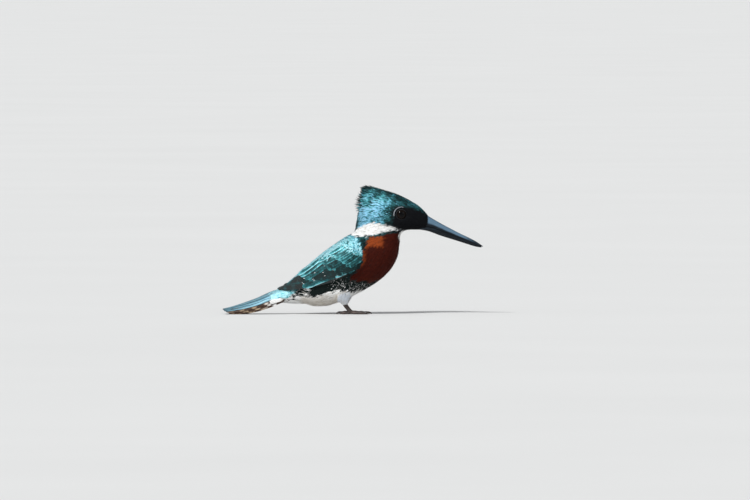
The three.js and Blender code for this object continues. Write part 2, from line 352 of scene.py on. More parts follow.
# Outlines from the side, in X and Z.
COLLAR_TOP = [(-4, 60.5), (1.9, 61.2), (7.6, 63.9), (15, 66.4), (21.6, 65.5), (29.4, 63.2), (35.6, 61.2)]
COLLAR_FOOT = [(-6, 55.2), (0, 57), (11.9, 57.2), (21.6, 58.8), (25.5, 59.8), (32.2, 61), (35.6, 61.2)]
BAND_TOP = [(-40, 28), (-6, 27), (2.8, 25.4), (17, 24.6), (23, 26.2), (30, 29)]
BAND_FOOT = [(-40, 15), (-29, 13.2), (-22, 13.6), (-15, 16.6), (-9, 18.8), (-2, 17.8), (14, 18.8), (23, 25)]
MASK_TOP = [(24, 72), (30, 75.6), (35, 77.6), (43, 76.4), (50, 74), (54.5, 70.5)]
RUMP_EDGE = [(-64, 10.6), (-50, 12.2), (-42, 13.6), (-36, 17), (-30, 20)]  # teal above, white below
WING_FOOT = [(-38, 16.8), (-30, 18.4), (-22, 21.6), (-13, 25.2), (-8, 27), (-3, 28.2), (4, 30.4)]
LESSER_COVERTS_FOOT = [(-41, 28.5), (-30, 36), (-19, 40.6), (-9, 43.5), (-4, 37), (-1, 31), (3, 26)]
# The same, in Z and X.
BREAST_REAR = [(24, -2), (29.5, 2.2), (35.3, 6.6), (41, 8.6), (47, 8.4), (50.7, 11), (56.5, 13.4), (60, 16)]
WING_END = [(8, -28), (36, -38.5)]

COLLAR_FRONT = 36.5  # in X, below the gape
THROAT_HALF, THROAT_TOP = 5.2, 61.2
BREAST_GAP = 1.6  # from the collar down to the rufous


def level(line, at):
    """The outline's second number at values of its first."""
    return np.interp(at, *zip(*line))


def past_flesh(x, z, lead, run):
    """0 over the closed wing's flesh, and 1 from where the primaries go on alone."""
    return smooth(level(WING_END, z) + lead - x, 0, run)


def painted_rufous_light_at(p):
    """Painted sunlight on the rufous: brightest at the side of the breast by the wing and below the collar,
    with a faint band low on the breast and a little everywhere.
    """
    x, z = p[:, 0], p[:, 2]
    rear = x - level(BREAST_REAR, z)
    high = smooth(z, 48.5, 52.5) * (1 - smooth(x, 20, 26))
    low = 0.15 * (1 - smooth(z, 24, 34)) * smooth(x, 4, 12)
    return np.clip(0.6 * (1 - smooth(rear, 0.5, 3.6)) * smooth(z, 33, 40) + high + low + 0.08, 0, 1)


def markings(p, kind):
    """Shares from 0 to 1 of each colour at points of one kind of skin.

    Past 1, spots run together. White and teal are bluish where the tint share is above 0, and below 0 white
    is dun in painted shade.
    """
    x, side, z = p[:, 0], np.abs(p[:, 1]), p[:, 2]
    collar = smooth(z, level(COLLAR_FOOT, x) - 0.3, level(COLLAR_FOOT, x) + 0.4)
    collar *= smooth(level(COLLAR_TOP, x) - z, -0.4, 0.3) * smooth(COLLAR_FRONT - x, -0.5, 1)
    throat = smooth(THROAT_HALF - side, 0, 1.2) * smooth(THROAT_TOP - z, 0, 0.8) * smooth(x, 30, 33)
    throat *= smooth(z, 54.6, 56.2)
    white = np.maximum(collar, throat)
    rufous = smooth(x - level(BREAST_REAR, z), -0.6, 0.6)
    rufous *= smooth(z - level(BAND_TOP, x), -0.6, 0.6)
    rufous *= smooth(level(COLLAR_FOOT, x) - BREAST_GAP - z, -0.3, 0.3)
    clusters = 0.5 + 0.5 * np.sin(x * 0.86 + 0.5 * z) * np.sin(1.15 * z - 0.35 * x + 0.25 * side)
    shares = {word: np.zeros_like(x) for word in ("white", "rufous", "black", "spots", "cool")}
    shares["glow"] = painted_rufous_light_at(p)
    if kind in ("head", "crest"):
        shares["white"] = white
        shares["black"] = smooth(level(MASK_TOP, x) - z, -0.8, 1.2) * smooth(x, 27.5, 31.5) * (1 - white)
        shares["cool"] = 1 - white
    elif kind == "neck":
        shares["white"] = white
        shares["rufous"] = rufous * (1 - white)
    elif kind in ("breast", "belly"):
        flank = 1 - smooth(x, -15, -11)
        spots = smooth(level(BAND_TOP, x) - z, -1.8, -0.6) * smooth(z - level(BAND_FOOT, x), -1.0, 1.4)
        spots = spots * (1 - smooth(rufous, 0.5, 1)) * lerp(0.74, 1.6, flank)
        loose = 1 - smooth(x, -29, -25)
        shares["spots"] = spots * lerp(1.0, smooth(clusters, 0.45, 0.7), loose)
        shares["white"] = smooth(level(BAND_TOP, x) - z, -0.6, 0.6)
        # painted shade: the lower belly's white darkens towards dun
        shares["cool"] = -(1 - smooth(z, 9, 17))
        shares["rufous"] = rufous
    elif kind == "rump":
        shares["white"] = smooth(level(RUMP_EDGE, x) - z, -0.6, 0.6)
        low = smooth(z - level(RUMP_EDGE, x), -5.5, -2.0) * smooth(x, -50, -44)
        shares["spots"] = shares["white"] * low * clusters * 1.4
    elif kind == "wing":
        # painted shade: the wing's lower edge takes the dark spot colour, as a shadow between wing and
        # flank
        shares["spots"] = 1.2 * (1 - smooth(z - level(WING_FOOT, x), 0.6, 1.8))
    elif kind == "thigh":
        shares["white"] = np.ones_like(x)
        shares["cool"] = smooth(z, 4, 12)
    return shares


# ---------------------------------------------------------------------------------------------
# The lie of the coat, given at places from the bill back to the tail
# ---------------------------------------------------------------------------------------------

# Group, place (X, distance from the middle, Z), lie (X, outward, Z), and then the habits: length, width,
# lift of the tip, how frayed, how free of the skin, and sheen: how bright the green is painted, partly its
# own gloss and partly painted sunlit highlight and painted shade.
COAT = [
    ("head", (54, 1.5, 70.5), (-0.90, 0.10, 0.45), 2.1, 0.55, 0.25, 0.6, 0.0, 0.35),
    ("head", (51, 6.0, 66.0), (-1.00, 0.15, 0.05), 2.0, 0.50, 0.20, 0.6, 0.0, 0.05),
    ("head", (39.6, 10.6, 73.0), (-1.00, 0.10, 0.10), 1.6, 0.42, 0.15, 0.4, 0.0, 0.05),
    ("head", (35, 11.2, 77.0), (-0.97, 0.10, 0.22), 1.7, 0.46, 0.20, 0.4, 0.0, 0.10),
    ("head", (30.2, 11.8, 72.0), (-1.00, 0.00, 0.00), 1.7, 0.46, 0.20, 0.4, 0.0, 0.15),
    ("head", (35, 11.4, 66.8), (-1.00, 0.10, -0.10), 1.8, 0.46, 0.15, 0.4, 0.0, 0.05),
    ("head", (48, 2.0, 77.5), (-0.86, 0.10, 0.48), 2.9, 0.70, 0.45, 0.7, 0.0, 0.50),
    ("head", (43, 8.0, 70.0), (-1.00, 0.12, 0.15), 2.3, 0.55, 0.25, 0.6, 0.0, 0.05),
    ("head", (44, 7.0, 62.0), (-0.97, 0.10, -0.12), 2.2, 0.55, 0.25, 0.6, 0.0, 0.05),
    ("head", (46, 0.0, 60.0), (-0.95, 0.00, -0.20), 2.1, 0.55, 0.25, 0.6, 0.0, 0.20),
    ("head", (37, 2.5, 84.5), (-0.90, 0.05, 0.42), 3.9, 1.00, 0.60, 0.8, 0.1, 0.30),
    ("head", (35, 9.0, 79.0), (-0.96, 0.08, 0.25), 2.9, 0.85, 0.45, 0.7, 0.0, 0.40),
    ("head", (25, 2.5, 89.5), (-0.91, 0.03, 0.42), 5.6, 1.15, 0.75, 0.9, 0.5, 0.30),
    ("head", (27, 9.5, 80.0), (-0.94, 0.05, 0.33), 3.9, 0.95, 0.55, 0.8, 0.1, 0.80),
    ("head", (28, 11.4, 72.0), (-1.00, 0.05, 0.10), 2.6, 0.80, 0.40, 0.7, 0.0, 0.45),
    ("head", (30, 11.4, 65.0), (-0.99, 0.05, -0.10), 2.6, 0.68, 0.35, 0.7, 0.0, 0.05),
    ("head", (20, 10.5, 68.0), (-1.00, 0.02, -0.05), 3.2, 0.90, 0.45, 0.8, 0.0, 0.80),
    ("head", (20, 9.5, 76.0), (-0.97, 0.04, 0.22), 4.2, 0.95, 0.55, 0.9, 0.1, 1.20),
    ("head", (12, 1.5, 92.0), (-0.88, 0.00, 0.46), 5.6, 1.20, 0.80, 1.0, 0.8, 0.05),
    ("head", (12, 6.5, 84.0), (-0.93, 0.03, 0.36), 6.0, 1.10, 0.75, 1.0, 0.5, 0.80),
    ("head", (9, 6.5, 74.0), (-0.98, 0.03, 0.10), 5.2, 1.05, 0.65, 1.0, 0.4, 1.35),
    ("head", (9, 7.5, 67.0), (-0.97, 0.03, -0.22), 4.2, 1.05, 0.55, 0.9, 0.2, 1.15),
    ("head", (5, 1.5, 80.0), (-0.95, 0.02, 0.30), 6.4, 1.15, 0.75, 1.0, 0.9, 0.25),
    ("head", (3, 1.5, 68.0), (-0.93, 0.02, -0.36), 4.8, 1.15, 0.60, 1.0, 0.5, 0.30),
    ("neck", (36, 0.0, 57.0), (-0.35, 0.00, -0.93), 2.8, 1.20, 0.40, 0.7, 0.0, 0.10),
    ("neck", (33, 8.0, 60.5), (-0.80, 0.10, -0.55), 2.4, 1.00, 0.35, 0.7, 0.0, 0.10),
    ("neck", (20, 13.0, 61.5), (-0.96, 0.08, -0.25), 4.0, 1.60, 0.50, 0.7, 0.0, 0.20),
    ("neck", (6, 10.0, 59.0), (-0.90, 0.06, -0.42), 4.2, 1.70, 0.55, 0.7, 0.0, 0.40),
    ("neck", (0, 2.0, 58.5), (-0.78, 0.00, -0.62), 4.2, 1.80, 0.60, 0.7, 0.1, 0.40),
    ("neck", (18, 14.0, 56.5), (-0.90, 0.10, -0.40), 3.2, 1.40, 0.45, 0.6, 0.0, 0.30),
    ("body", (35, 3.0, 50.0), (-0.12, 0.05, -1.00), 4.2, 1.80, 0.55, 0.8, 0.0, 0.10),
    ("body", (22, 14.0, 50.0), (-0.45, 0.10, -0.90), 4.4, 1.90, 0.55, 0.8, 0.0, 0.10),
    ("body", (12, 16.5, 46.0), (-0.60, 0.12, -0.80), 4.2, 1.80, 0.50, 0.8, 0.0, 0.10),
    ("body", (30, 4.0, 35.0), (-0.48, 0.03, -0.88), 4.8, 2.10, 0.60, 0.8, 0.0, 0.10),
    ("body", (18, 14.0, 34.0), (-0.62, 0.05, -0.78), 4.8, 2.10, 0.60, 0.8, 0.0, 0.10),
    ("body", (16, 3.0, 20.5), (-0.84, 0.02, -0.54), 5.0, 2.20, 0.65, 0.9, 0.0, 0.10),
    ("body", (6, 14.0, 23.0), (-0.85, 0.03, -0.50), 5.0, 2.20, 0.65, 0.9, 0.0, 0.10),
    ("body", (-2, 4.0, 12.0), (-0.93, 0.02, -0.36), 5.6, 2.30, 0.75, 1.0, 0.0, 0.10),
    ("body", (-20, 3.0, 5.8), (-1.00, 0.00, 0.02), 6.2, 2.50, 0.80, 1.0, 0.0, 0.10),
    ("body", (-18, 13.0, 15.0), (-0.98, 0.02, -0.12), 5.8, 2.40, 0.80, 1.0, 0.0, 0.10),
    ("body", (-14, 16.0, 21.0), (-0.93, 0.02, -0.40), 5.0, 2.20, 0.40, 0.9, 0.0, 0.10),
    ("body", (-26, 13.0, 17.0), (-0.93, 0.02, -0.38), 5.2, 2.20, 0.40, 0.9, 0.0, 0.10),
    ("body", (-34, 3.0, 7.5), (-0.96, 0.00, 0.22), 6.6, 2.60, 0.80, 1.0, 0.1, 0.10),
    ("body", (-33, 9.0, 15.0), (-0.97, 0.00, 0.05), 6.2, 2.50, 0.80, 1.0, 0.0, 0.10),
    ("body", (-50, 3.0, 8.2), (-0.99, 0.00, 0.10), 7.0, 2.60, 0.60, 0.9, 0.2, 0.10),
    ("body", (-44, 7.0, 17.0), (-0.90, 0.00, -0.40), 5.6, 2.50, 0.55, 0.5, 0.0, 1.20),
    ("body", (-56, 4.0, 14.5), (-0.92, 0.00, -0.36), 6.2, 2.50, 0.45, 0.4, 0.0, 1.15),
    ("back", (0, 3.0, 56.0), (-0.80, 0.00, -0.60), 4.0, 2.10, 0.55, 0.4, 0.0, 1.25),
    ("back", (-18, 3.0, 46.0), (-0.76, 0.00, -0.65), 4.6, 2.40, 0.55, 0.4, 0.0, 1.15),
    ("back", (-36, 2.0, 32.0), (-0.74, 0.00, -0.67), 5.0, 2.50, 0.55, 0.4, 0.5, 1.00),
    ("wing", (8, 15.0, 47.0), (-0.80, 0.10, -0.55), 2.4, 1.70, 0.40, 0.4, 0.0, 1.00),
    ("wing", (6, 16.0, 39.0), (-0.80, 0.10, -0.60), 2.6, 1.70, 0.40, 0.4, 0.0, 0.05),
    ("wing", (4, 12.0, 56.0), (-0.85, 0.05, -0.52), 3.4, 2.10, 0.50, 0.5, 0.0, 0.90),
    ("wing", (-3, 18.0, 47.0), (-0.84, 0.05, -0.54), 3.6, 2.40, 0.50, 0.5, 0.0, 1.20),
    ("wing", (-2, 18.0, 37.0), (-0.86, 0.03, -0.50), 3.8, 2.40, 0.45, 0.4, 0.0, 0.10),
    ("wing", (-14, 9.0, 49.0), (-0.80, 0.02, -0.60), 5.5, 2.80, 0.50, 0.5, 0.0, 1.35),
    ("wing", (-28, 6.0, 40.0), (-0.80, 0.02, -0.60), 6.5, 3.10, 0.40, 0.5, 0.0, 1.35),
    ("wing", (-35, 6.0, 32.0), (-0.80, 0.00, -0.60), 5.0, 2.60, 0.30, 0.5, 0.9, 0.90),
    ("thigh", (-6, 12.0, 19.0), (-0.25, 0.10, -0.96), 3.8, 1.30, 0.60, 1.0, 0.0, 0.10),
    ("thigh", (-5, 10.0, 8.0), (-0.15, 0.05, -0.98), 2.4, 0.90, 0.35, 1.0, 0.0, 0.10),
]
HABITS = ("length", "width", "lift", "fray", "free", "sheen")
GROUPS = {
    "head": ("head", "neck"), "crest": ("head",), "neck": ("neck", "head", "body"),
    "breast": ("body", "neck"), "belly": ("body",), "rump": ("body",), "back": ("back", "neck"),
    "wing": ("wing",), "thigh": ("thigh",),
}


def habits(p, kind):
    """The lie of the coat and its habits at points of one kind of skin, blended from the nearest places."""
    rows = [row for row in COAT if row[0] in GROUPS[kind]]
    places = np.array([row[1] for row in rows])
    folded = np.column_stack([p[:, 0], np.abs(p[:, 1]), p[:, 2]])
    near = ((folded[:, None] - places) ** 2).sum(2) ** -2.0
    near /= near.sum(1, keepdims=True)
    lie = near @ np.array([row[2] for row in rows])
    lie[:, 1] *= np.sign(p[:, 1])
    return lie, dict(zip(HABITS, (near @ np.array([row[3:] for row in rows])).T))


# ---------------------------------------------------------------------------------------------
# Skin
# ---------------------------------------------------------------------------------------------

FLESH = [
    "head", "crest", "neck", "back", "breast", "belly", "rump",
    "wing_right", "wing_left", "thigh_right", "thigh_left",
]
SWELL = 1.8  # closes the cuts between the solids
SKIN_VOXEL = 0.62
SKIN_SMOOTHING = 8
INSET_STEPS = 9
SKIN_DEPTH = 0.95  # how deep the skin lies under the tips of the coat
FACE_DEPTH = 0.45
PATTERN_VOXEL = 1.8
# The mantle fills the furrow between the closed wings.
MANTLE = [(-3, 0, 50.5), (-12, 0, 46.6), (-20, 0, 41.8), (-30, 0, 33.8), (-39, 0, 26.6), (-49, 0, 18.8)]
MANTLE_RADII = [2.6, 3.4, 3.5, 3.3, 2.8, 1.6]

EYE_BOX = {side: [np.array(corner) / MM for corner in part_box(f"eye_{side}")] for side in SIDES}
EYE_RADIUS = max((high - low)[2] for low, high in EYE_BOX.values()) / 2
EYE_SINK = 0.5  # how much deeper than their solids the eyes are set
EYE_OPEN = math.asin(0.84)  # angle from the gaze to the lids
EYE_ROUND = 1.9  # angle from the gaze to where the eyeball and the lids end
LID_LIFT = 0.18


def gaze(side):
    return unit(np.array([0.16, SIDES[side], 0.04]))


EYE_AT = {side: (low + high) / 2 - gaze(side) * EYE_SINK for side, (low, high) in EYE_BOX.items()}
solids = {node: solid_of(node) for node in FLESH}


def kind_of(node):
    return node.split("_")[0]


def coat_depth(p):
    x, z = p[:, 0], p[:, 2]
    return lerp(SKIN_DEPTH, FACE_DEPTH, smooth(x, 22, 46) * smooth(z, 57, 62))


def lidded(p):
    """Points near the eyes moved onto the lids, or behind the eye where the lids are open."""
    for side, at in EYE_AT.items():
        away = p - at
        reach = np.linalg.norm(away, axis=1)
        angle = np.arccos(np.clip(unit(away) @ gaze(side), -1, 1))
        on_lid = (reach < EYE_RADIUS + LID_LIFT) & (angle < EYE_ROUND)
        lid = at + unit(away) * (EYE_RADIUS + LID_LIFT)
        sunk = at + unit(away) * EYE_RADIUS * 0.7
        opened = (angle < EYE_OPEN) & (reach < EYE_RADIUS * 1.8)
        p = np.where(opened[:, None], sunk, np.where(on_lid[:, None], lid, p))
    return p


def skin_shape():
    """One closed surface round all the flesh, then smoothed and drawn in under the coat."""
    saddle, quads = tube(MANTLE, np.array(MANTLE_RADII) + SWELL, 24, 16)
    shapes = [(saddle, np.concatenate([quads[:, :3], quads[quads[:, 3] >= 0][:, [0, 2, 3]]]))]
    for points, triangles in solids.values():
        shapes.append((points + normals_of(points, triangles) * SWELL, triangles))
    points, quads = outermost(*remeshed(*joined(shapes), SKIN_VOXEL))
    points = relaxed(points, quads, SKIN_SMOOTHING)
    depth = (SWELL + coat_depth(points))[:, None]
    for _ in range(INSET_STEPS):
        points = points - normals_of(points, halves(quads)) * depth / INSET_STEPS
        points = relaxed(points, quads, 2)
    return lidded(points), quads


skin_points, skin_quads = skin_shape()
skin_triangles = halves(skin_quads)
skin_tree = tree_of(skin_points, skin_triangles)

flesh_tree = tree_of(*joined(list(solids.values())))
flesh_ends = np.cumsum([len(triangles) for _, triangles in solids.values()])


def nodes_at(points):
    """The index in FLESH of the solid nearest to each point."""
    nearest = [flesh_tree.find_nearest(Vector(p))[2] for p in points]
    return np.searchsorted(flesh_ends, nearest, side="right")


def owned(owner):
    """Each solid that owns some of the points: its name, its kind and which points."""
    for index, node in enumerate(FLESH):
        own = owner == index
        if own.any():
            yield node, kind_of(node), own


def by_node(points, owner, work):
    """Runs work(points, kind) on each solid's own points, and gathers the named results."""
    results = {}
    for _, kind, own in owned(owner):
        for word, values in work(points[own], kind).items():
            results.setdefault(word, np.zeros(len(points)))[own] = values
    return results


def unwrap():
    """A coarse copy of the skin with its faces laid out flat: a tree, its triangles and their UVs."""
    points, quads = remeshed(skin_points, skin_triangles, PATTERN_VOXEL)
    mesh = bpy.data.meshes.new("pattern")
    mesh.from_pydata(points.tolist(), [], quads.tolist())
    pattern = placed("pattern", mesh)
    bpy.context.view_layer.objects.active = pattern
    pattern.select_set(True)
    bpy.ops.object.mode_set(mode="EDIT")
    bpy.ops.mesh.select_all(action="SELECT")
    bpy.ops.uv.smart_project(angle_limit=math.radians(66), island_margin=0.004)
    bpy.ops.object.mode_set(mode="OBJECT")
    uv = np.empty(len(mesh.loops) * 2, np.float32)
    mesh.uv_layers.active.data.foreach_get("uv", uv)
    uv = uv.reshape(-1, 4, 2)
    bpy.data.objects.remove(pattern)
    triangles = halves(quads)
    laid = np.concatenate([uv[:, [0, 1, 2]], uv[:, [0, 2, 3]]])
    return tree_of(points, triangles), points[triangles], laid


pattern_tree, pattern_corners, pattern_uv = unwrap()


def laid_flat(points):
    """The place of points on the unwrapped skin."""
    faces = []
    spots = []
    for p in points:
        near, _, face, _ = pattern_tree.find_nearest(Vector(p))
        faces.append(face)
        spots.append(near)
    a, b, c = (pattern_corners[faces][:, i] for i in range(3))
    spots = np.array(spots)
    across = np.cross(b - a, c - a)
    whole = (across ** 2).sum(1)
    share_b = (np.cross(spots - a, c - a) * across).sum(1) / whole
    share_c = (np.cross(b - a, spots - a) * across).sum(1) / whole
    shares = np.column_stack([1 - share_b - share_c, share_b, share_c])
    return (pattern_uv[faces] * shares[:, :, None]).sum(1)


# ---------------------------------------------------------------------------------------------
# Plumage finishes
# ---------------------------------------------------------------------------------------------

NIGHT_GREEN = (0.004, 0.017, 0.018)
SEA_GREEN = (0.020, 0.115, 0.125)
BRIGHT_TEAL = (0.10, 0.44, 0.49)
SKY_TEAL = (0.13, 0.42, 0.56)
# painted highlights: pale sunlit blues of the glossy green
PAINTED_HIGHLIGHT_TEAL = (0.40, 0.74, 0.80)
PAINTED_HIGHLIGHT_BLUE = (0.33, 0.68, 0.90)
CHESTNUT = (0.054, 0.0055, 0.0018)
# painted sunlight: the orange that the rufous turns to where it is lit
PAINTED_SUNLIT_RUFOUS = (0.31, 0.058, 0.012)
CHALK = (0.93, 0.93, 0.92)
PEARL = (0.74, 0.79, 0.86)
PAINTED_SHADE_DUN = (0.50, 0.44, 0.36)
SOOT = (0.0030, 0.0035, 0.0050)
BOTTLE = (0.006, 0.012, 0.011)


def plumage_finish():
    """Feathers of any colour the bird has, by the shares that the mesh carries, with painted sunlight,
    highlights and shade.
    """
    finish = Finish("plumage", Specular_IOR_Level=0.12)
    along, across, chance, sheen = map(finish.carried, ("along", "across", "chance", "sheen"))
    white, rufous, black = map(finish.carried, ("white", "rufous", "black"))
    spots, glow, cool = map(finish.carried, ("spots", "glow", "cool"))

    streak = finish.noise(finish.stretched((900, 900, 900)), 0.55, 2.0)
    patch = finish.noise(finish.place(), 260.0, 2.0)
    tint = finish.noise(finish.place(), 90.0, 1.0)
    # painted light: the sheen share, lighter at the tips and darkened at the roots as painted shade, takes
    # the green from dark through teal to painted highlights
    lit = sheen * (0.55 + 0.75 * along.over(0.2, 0.8)) + (chance - 0.5) * 0.5 + (patch - 0.5) * 0.9
    green = finish.mix(lit.over(0.05, 0.7), NIGHT_GREEN, SEA_GREEN)
    teal = finish.mix((tint + cool * 0.1).over(0.42, 0.62), BRIGHT_TEAL, SKY_TEAL)
    green = finish.mix((lit + (streak - 0.5) * 0.8).over(0.45, 0.95), green, teal)
    painted_highlight = finish.mix(cool, PAINTED_HIGHLIGHT_TEAL, PAINTED_HIGHLIGHT_BLUE)
    green = finish.mix((lit + (streak - 0.5) * 1.2).over(0.80, 1.35), green, painted_highlight)
    # painted sunlight: the rufous runs from CHESTNUT to a lit orange by the painted light share
    red = finish.mix((glow + (streak - 0.5) * 0.5).over(0.1, 1.0), CHESTNUT, PAINTED_SUNLIT_RUFOUS)
    # painted shade: white turns dun where the tint share is below 0, on the lower belly, and towards every
    # white feather's root
    pale = finish.mix(cool * -0.6, finish.mix(cool, CHALK, PEARL), PAINTED_SHADE_DUN)
    pale = finish.mix((along + (patch - 0.5) * 0.6).over(-0.1, 0.5), PAINTED_SHADE_DUN, pale)
    tip = along.over(0.68, 0.90) * 1.6 + (1.0 - along.over(0.02, 0.15)) * 0.5
    blot = (spots * 1.5 - across * across * 0.8 - tip + (chance - 0.5) * 0.5).over(0.1, 0.35)
    colour = finish.mix(black, green, SOOT)
    colour = finish.mix(rufous, colour, red)
    colour = finish.mix(white, colour, pale)
    colour = finish.mix(blot, colour, BOTTLE)
    plain = (white + rufous + black).over(0.0, 1.0)
    metal = (1.0 - plain) * 0.3
    rough = 0.42 + plain * 0.35 + (streak - 0.5) * 0.2
    ribs = (across * 40.0 + along * 14.0).wave() * 0.5 + streak
    return finish.surface(
        Base_Color=colour, Metallic=metal, Roughness=rough, Normal=finish.bump(ribs, 0.03, 0.6)
    )


coat_finish = plumage_finish()


# ---------------------------------------------------------------------------------------------
# Feathers
# ---------------------------------------------------------------------------------------------

SPINE = 4  # steps along a feather's spine
STRIPS = {"head": 5, "crest": 5}  # groups of barbs across a vane
MORE_STRIPS = 8
ALONG_STRIP = np.array([0, 0.35, 0.7, 0.92, 1.0])
TAPER = np.array([1.0, 1.0, 1.0, 0.82, 0.30])
ROUNDED = 0.30  # how much shorter a feather's outer strips are
FRAYED = 0.30  # how much shorter a strip of a frayed feather may be
LAP = 1.12  # width of a strip over its share of the vane
ARCH = 0.22  # drop of a vane's edges
PATCH = 0.003  # size of a feather's place on the unwrapped skin
ROOT_HEIGHT = 0.12
ROOTS_PER_MM2 = 3.6
CELL = 3.0
CLOSENESS = 0.35  # distance between roots, as a share of a feather's size
WANDER = 0.12  # of the lie
UNEVEN = 0.12  # of the length
BLUR = 0.35  # how far from its root a feather may take its colours
TAIL_COVERT_LONG = 8.0
TAIL_COVERT_WIDE = 2.8
draw = np.random.default_rng(11)


def spread():
    """Roots over the skin, no two closer than the spacing at their place, and the solid that owns each."""
    a, b, c = (skin_points[skin_triangles[:, i]] for i in range(3))
    area = np.linalg.norm(np.cross(b - a, c - a), axis=1) / 2
    count = int(area.sum() * ROOTS_PER_MM2)
    face = draw.choice(len(area), count, p=area / area.sum())
    u, v = draw.random((2, count))
    fold = u + v > 1
    u[fold], v[fold] = 1 - u[fold], 1 - v[fold]
    points = a[face] + (b - a)[face] * u[:, None] + (c - a)[face] * v[:, None]
    owner = nodes_at(points)
    gap = spacing(points, owner)
    kept = []
    cells = {}
    for index, p in enumerate(points):
        if gap[index] <= 0:
            continue
        key = tuple((p // CELL).astype(int))
        near = [
            other
            for i in (-1, 0, 1) for j in (-1, 0, 1) for k in (-1, 0, 1)
            for other in cells.get((key[0] + i, key[1] + j, key[2] + k), ())
        ]
        if near and (((points[near] - p) ** 2).sum(1) < gap[index] ** 2).any():
            continue
        cells.setdefault(key, []).append(index)
        kept.append(index)
    return points[kept], owner[kept]


def traced(roots, lie, length, rise, free):
    """Spines laid over the skin from their roots: points, and the skin's normals under them."""
    spine = np.empty((len(roots), SPINE + 1, 3))
    up = np.empty_like(spine)
    for index, root in enumerate(roots):
        point = Vector(root)
        heading = Vector(lie[index])
        step = length[index] / SPINE
        own_free = free[index]
        for k in range(SPINE + 1):
            near, normal, _, _ = skin_tree.find_nearest(point)
            if k:
                normal = (Vector(up[index, k - 1]) * own_free + normal * (1 - own_free)).normalized()
            point = near.lerp(point, own_free if k else 0.0)
            heading = (heading - normal * heading.dot(normal) * (1 - own_free)).normalized()
            spine[index, k] = point
            up[index, k] = normal
            point = point + heading * step
    share = np.linspace(0, 1, SPINE + 1)[None, :, None]
    return spine + up * (ROOT_HEIGHT + rise[:, None, None] * share), up


def along_spine(values, share):
    """Values given at the steps of spines, read between them."""
    place = np.clip(share, 0, 1) * (values.shape[1] - 1)
    low = np.minimum(place.astype(int), values.shape[1] - 2)
    part = (place - low)[..., None]
    rows = np.arange(len(values)).reshape(-1, *([1] * (share.ndim - 1)))
    return values[rows, low] * (1 - part) + values[rows, low + 1] * part


def vane_width(share):
    """The half width of a body feather along it, as a share of its widest."""
    return np.minimum(1.0, 0.45 + 2.2 * share) * (1 - 0.2 * smooth(share, 0.6, 1.0))


def vanes(name, kind, roots, spine, up, width, fray, carries):
    """Body feathers, each a fan of thin strips, as one piece."""
    count = len(roots)
    strips = STRIPS.get(kind, MORE_STRIPS)
    steps = len(ALONG_STRIP)
    chance = draw.random(count)
    edges = np.linspace(-1, 1, strips + 1)
    centre = (edges[:-1] + edges[1:]) / 2
    reach = 1 - ROUNDED * centre ** 2 - draw.random((count, strips)) * FRAYED * fray[:, None]
    tau = ALONG_STRIP
    share = reach[:, :, None] * tau
    point = along_spine(spine, share)
    normal = unit(along_spine(up, share))
    tangent = unit(along_spine(np.gradient(spine, axis=1), share))
    sideways = np.cross(normal, tangent)
    half = width[:, None, None] / 2 * vane_width(share)
    narrow = (1 - fray[:, None, None] * 0.7 * tau ** 2) * TAPER
    stray = (draw.random((count, strips)) - 0.5)[:, :, None] * fray[:, None, None] * 0.5 * tau ** 2
    lifted = draw.random((count, strips))[:, :, None] * tau * 0.10 * (0.4 + fray[:, None, None])
    pairs = []
    for edge in (-1, 1):
        s = centre[None, :, None] + edge / strips * narrow * LAP + stray
        offset = sideways * (s * half)[..., None]
        drop = normal * (lifted - ARCH * half * s ** 2)[..., None]
        facing = unit(normal + sideways * (s * 0.6)[..., None] + tangent * 0.12)
        pairs.append((point + offset + drop, s, facing))
    points, s, facing = (np.stack(both, 3) for both in zip(*pairs))
    shares = np.repeat(share[..., None], 2, 3)

    base = (np.arange(count * strips) * steps * 2)[:, None] + (np.arange(steps - 1) * 2)[None, :]
    quads = np.stack([base, base + 2, base + 3, base + 1], 2).reshape(-1, 4)
    per = strips * steps * 2
    values = {"along": shares.ravel(), "across": s.ravel(), "chance": np.repeat(chance, per)}
    values |= {word: np.repeat(given, per) for word, given in carries.items()}
    place = np.repeat(laid_flat(roots), per, 0)
    patch = np.column_stack([s.ravel() / 2, shares.ravel() - 0.5]) * PATCH
    return piece(
        name, points.reshape(-1, 3), quads, coat_finish,
        values, place + patch, facing.reshape(-1, 3),
    )


def spacing(points, owner):
    return by_node(points, owner, lambda p, kind: {"gap": coat_gap(p, kind)})["gap"]


def coat_gap(p, kind):
    """The least distance between roots. It is 0 where quills or eyes take the coat's place."""
    _, own = habits(p, kind)
    gap = np.sqrt(own["length"] * own["width"]) * CLOSENESS
    if kind == "wing":
        aside = lerp(3.0, 7.0, past_flesh(p[:, 0], p[:, 2], 3, 3))
        gap[(p[:, 2] < level(LESSER_COVERTS_FOOT, p[:, 0])) & (np.abs(p[:, 1]) > aside)] = 0
    if kind in ("breast", "belly"):
        gap[(p[:, 2] > level(WING_FOOT, p[:, 0]) + 0.2) & (p[:, 0] < 2)] = 0
    for side, at in EYE_AT.items():
        away = unit(p - at)
        angle = np.arccos(np.clip(away @ gaze(side), -1, 1))
        bare = EYE_OPEN + 0.08 + 0.24 * np.clip(away[:, 0], 0, 1)
        gap[(np.linalg.norm(p - at, axis=1) < EYE_RADIUS + 0.6) & (angle < bare)] = 0
    return gap


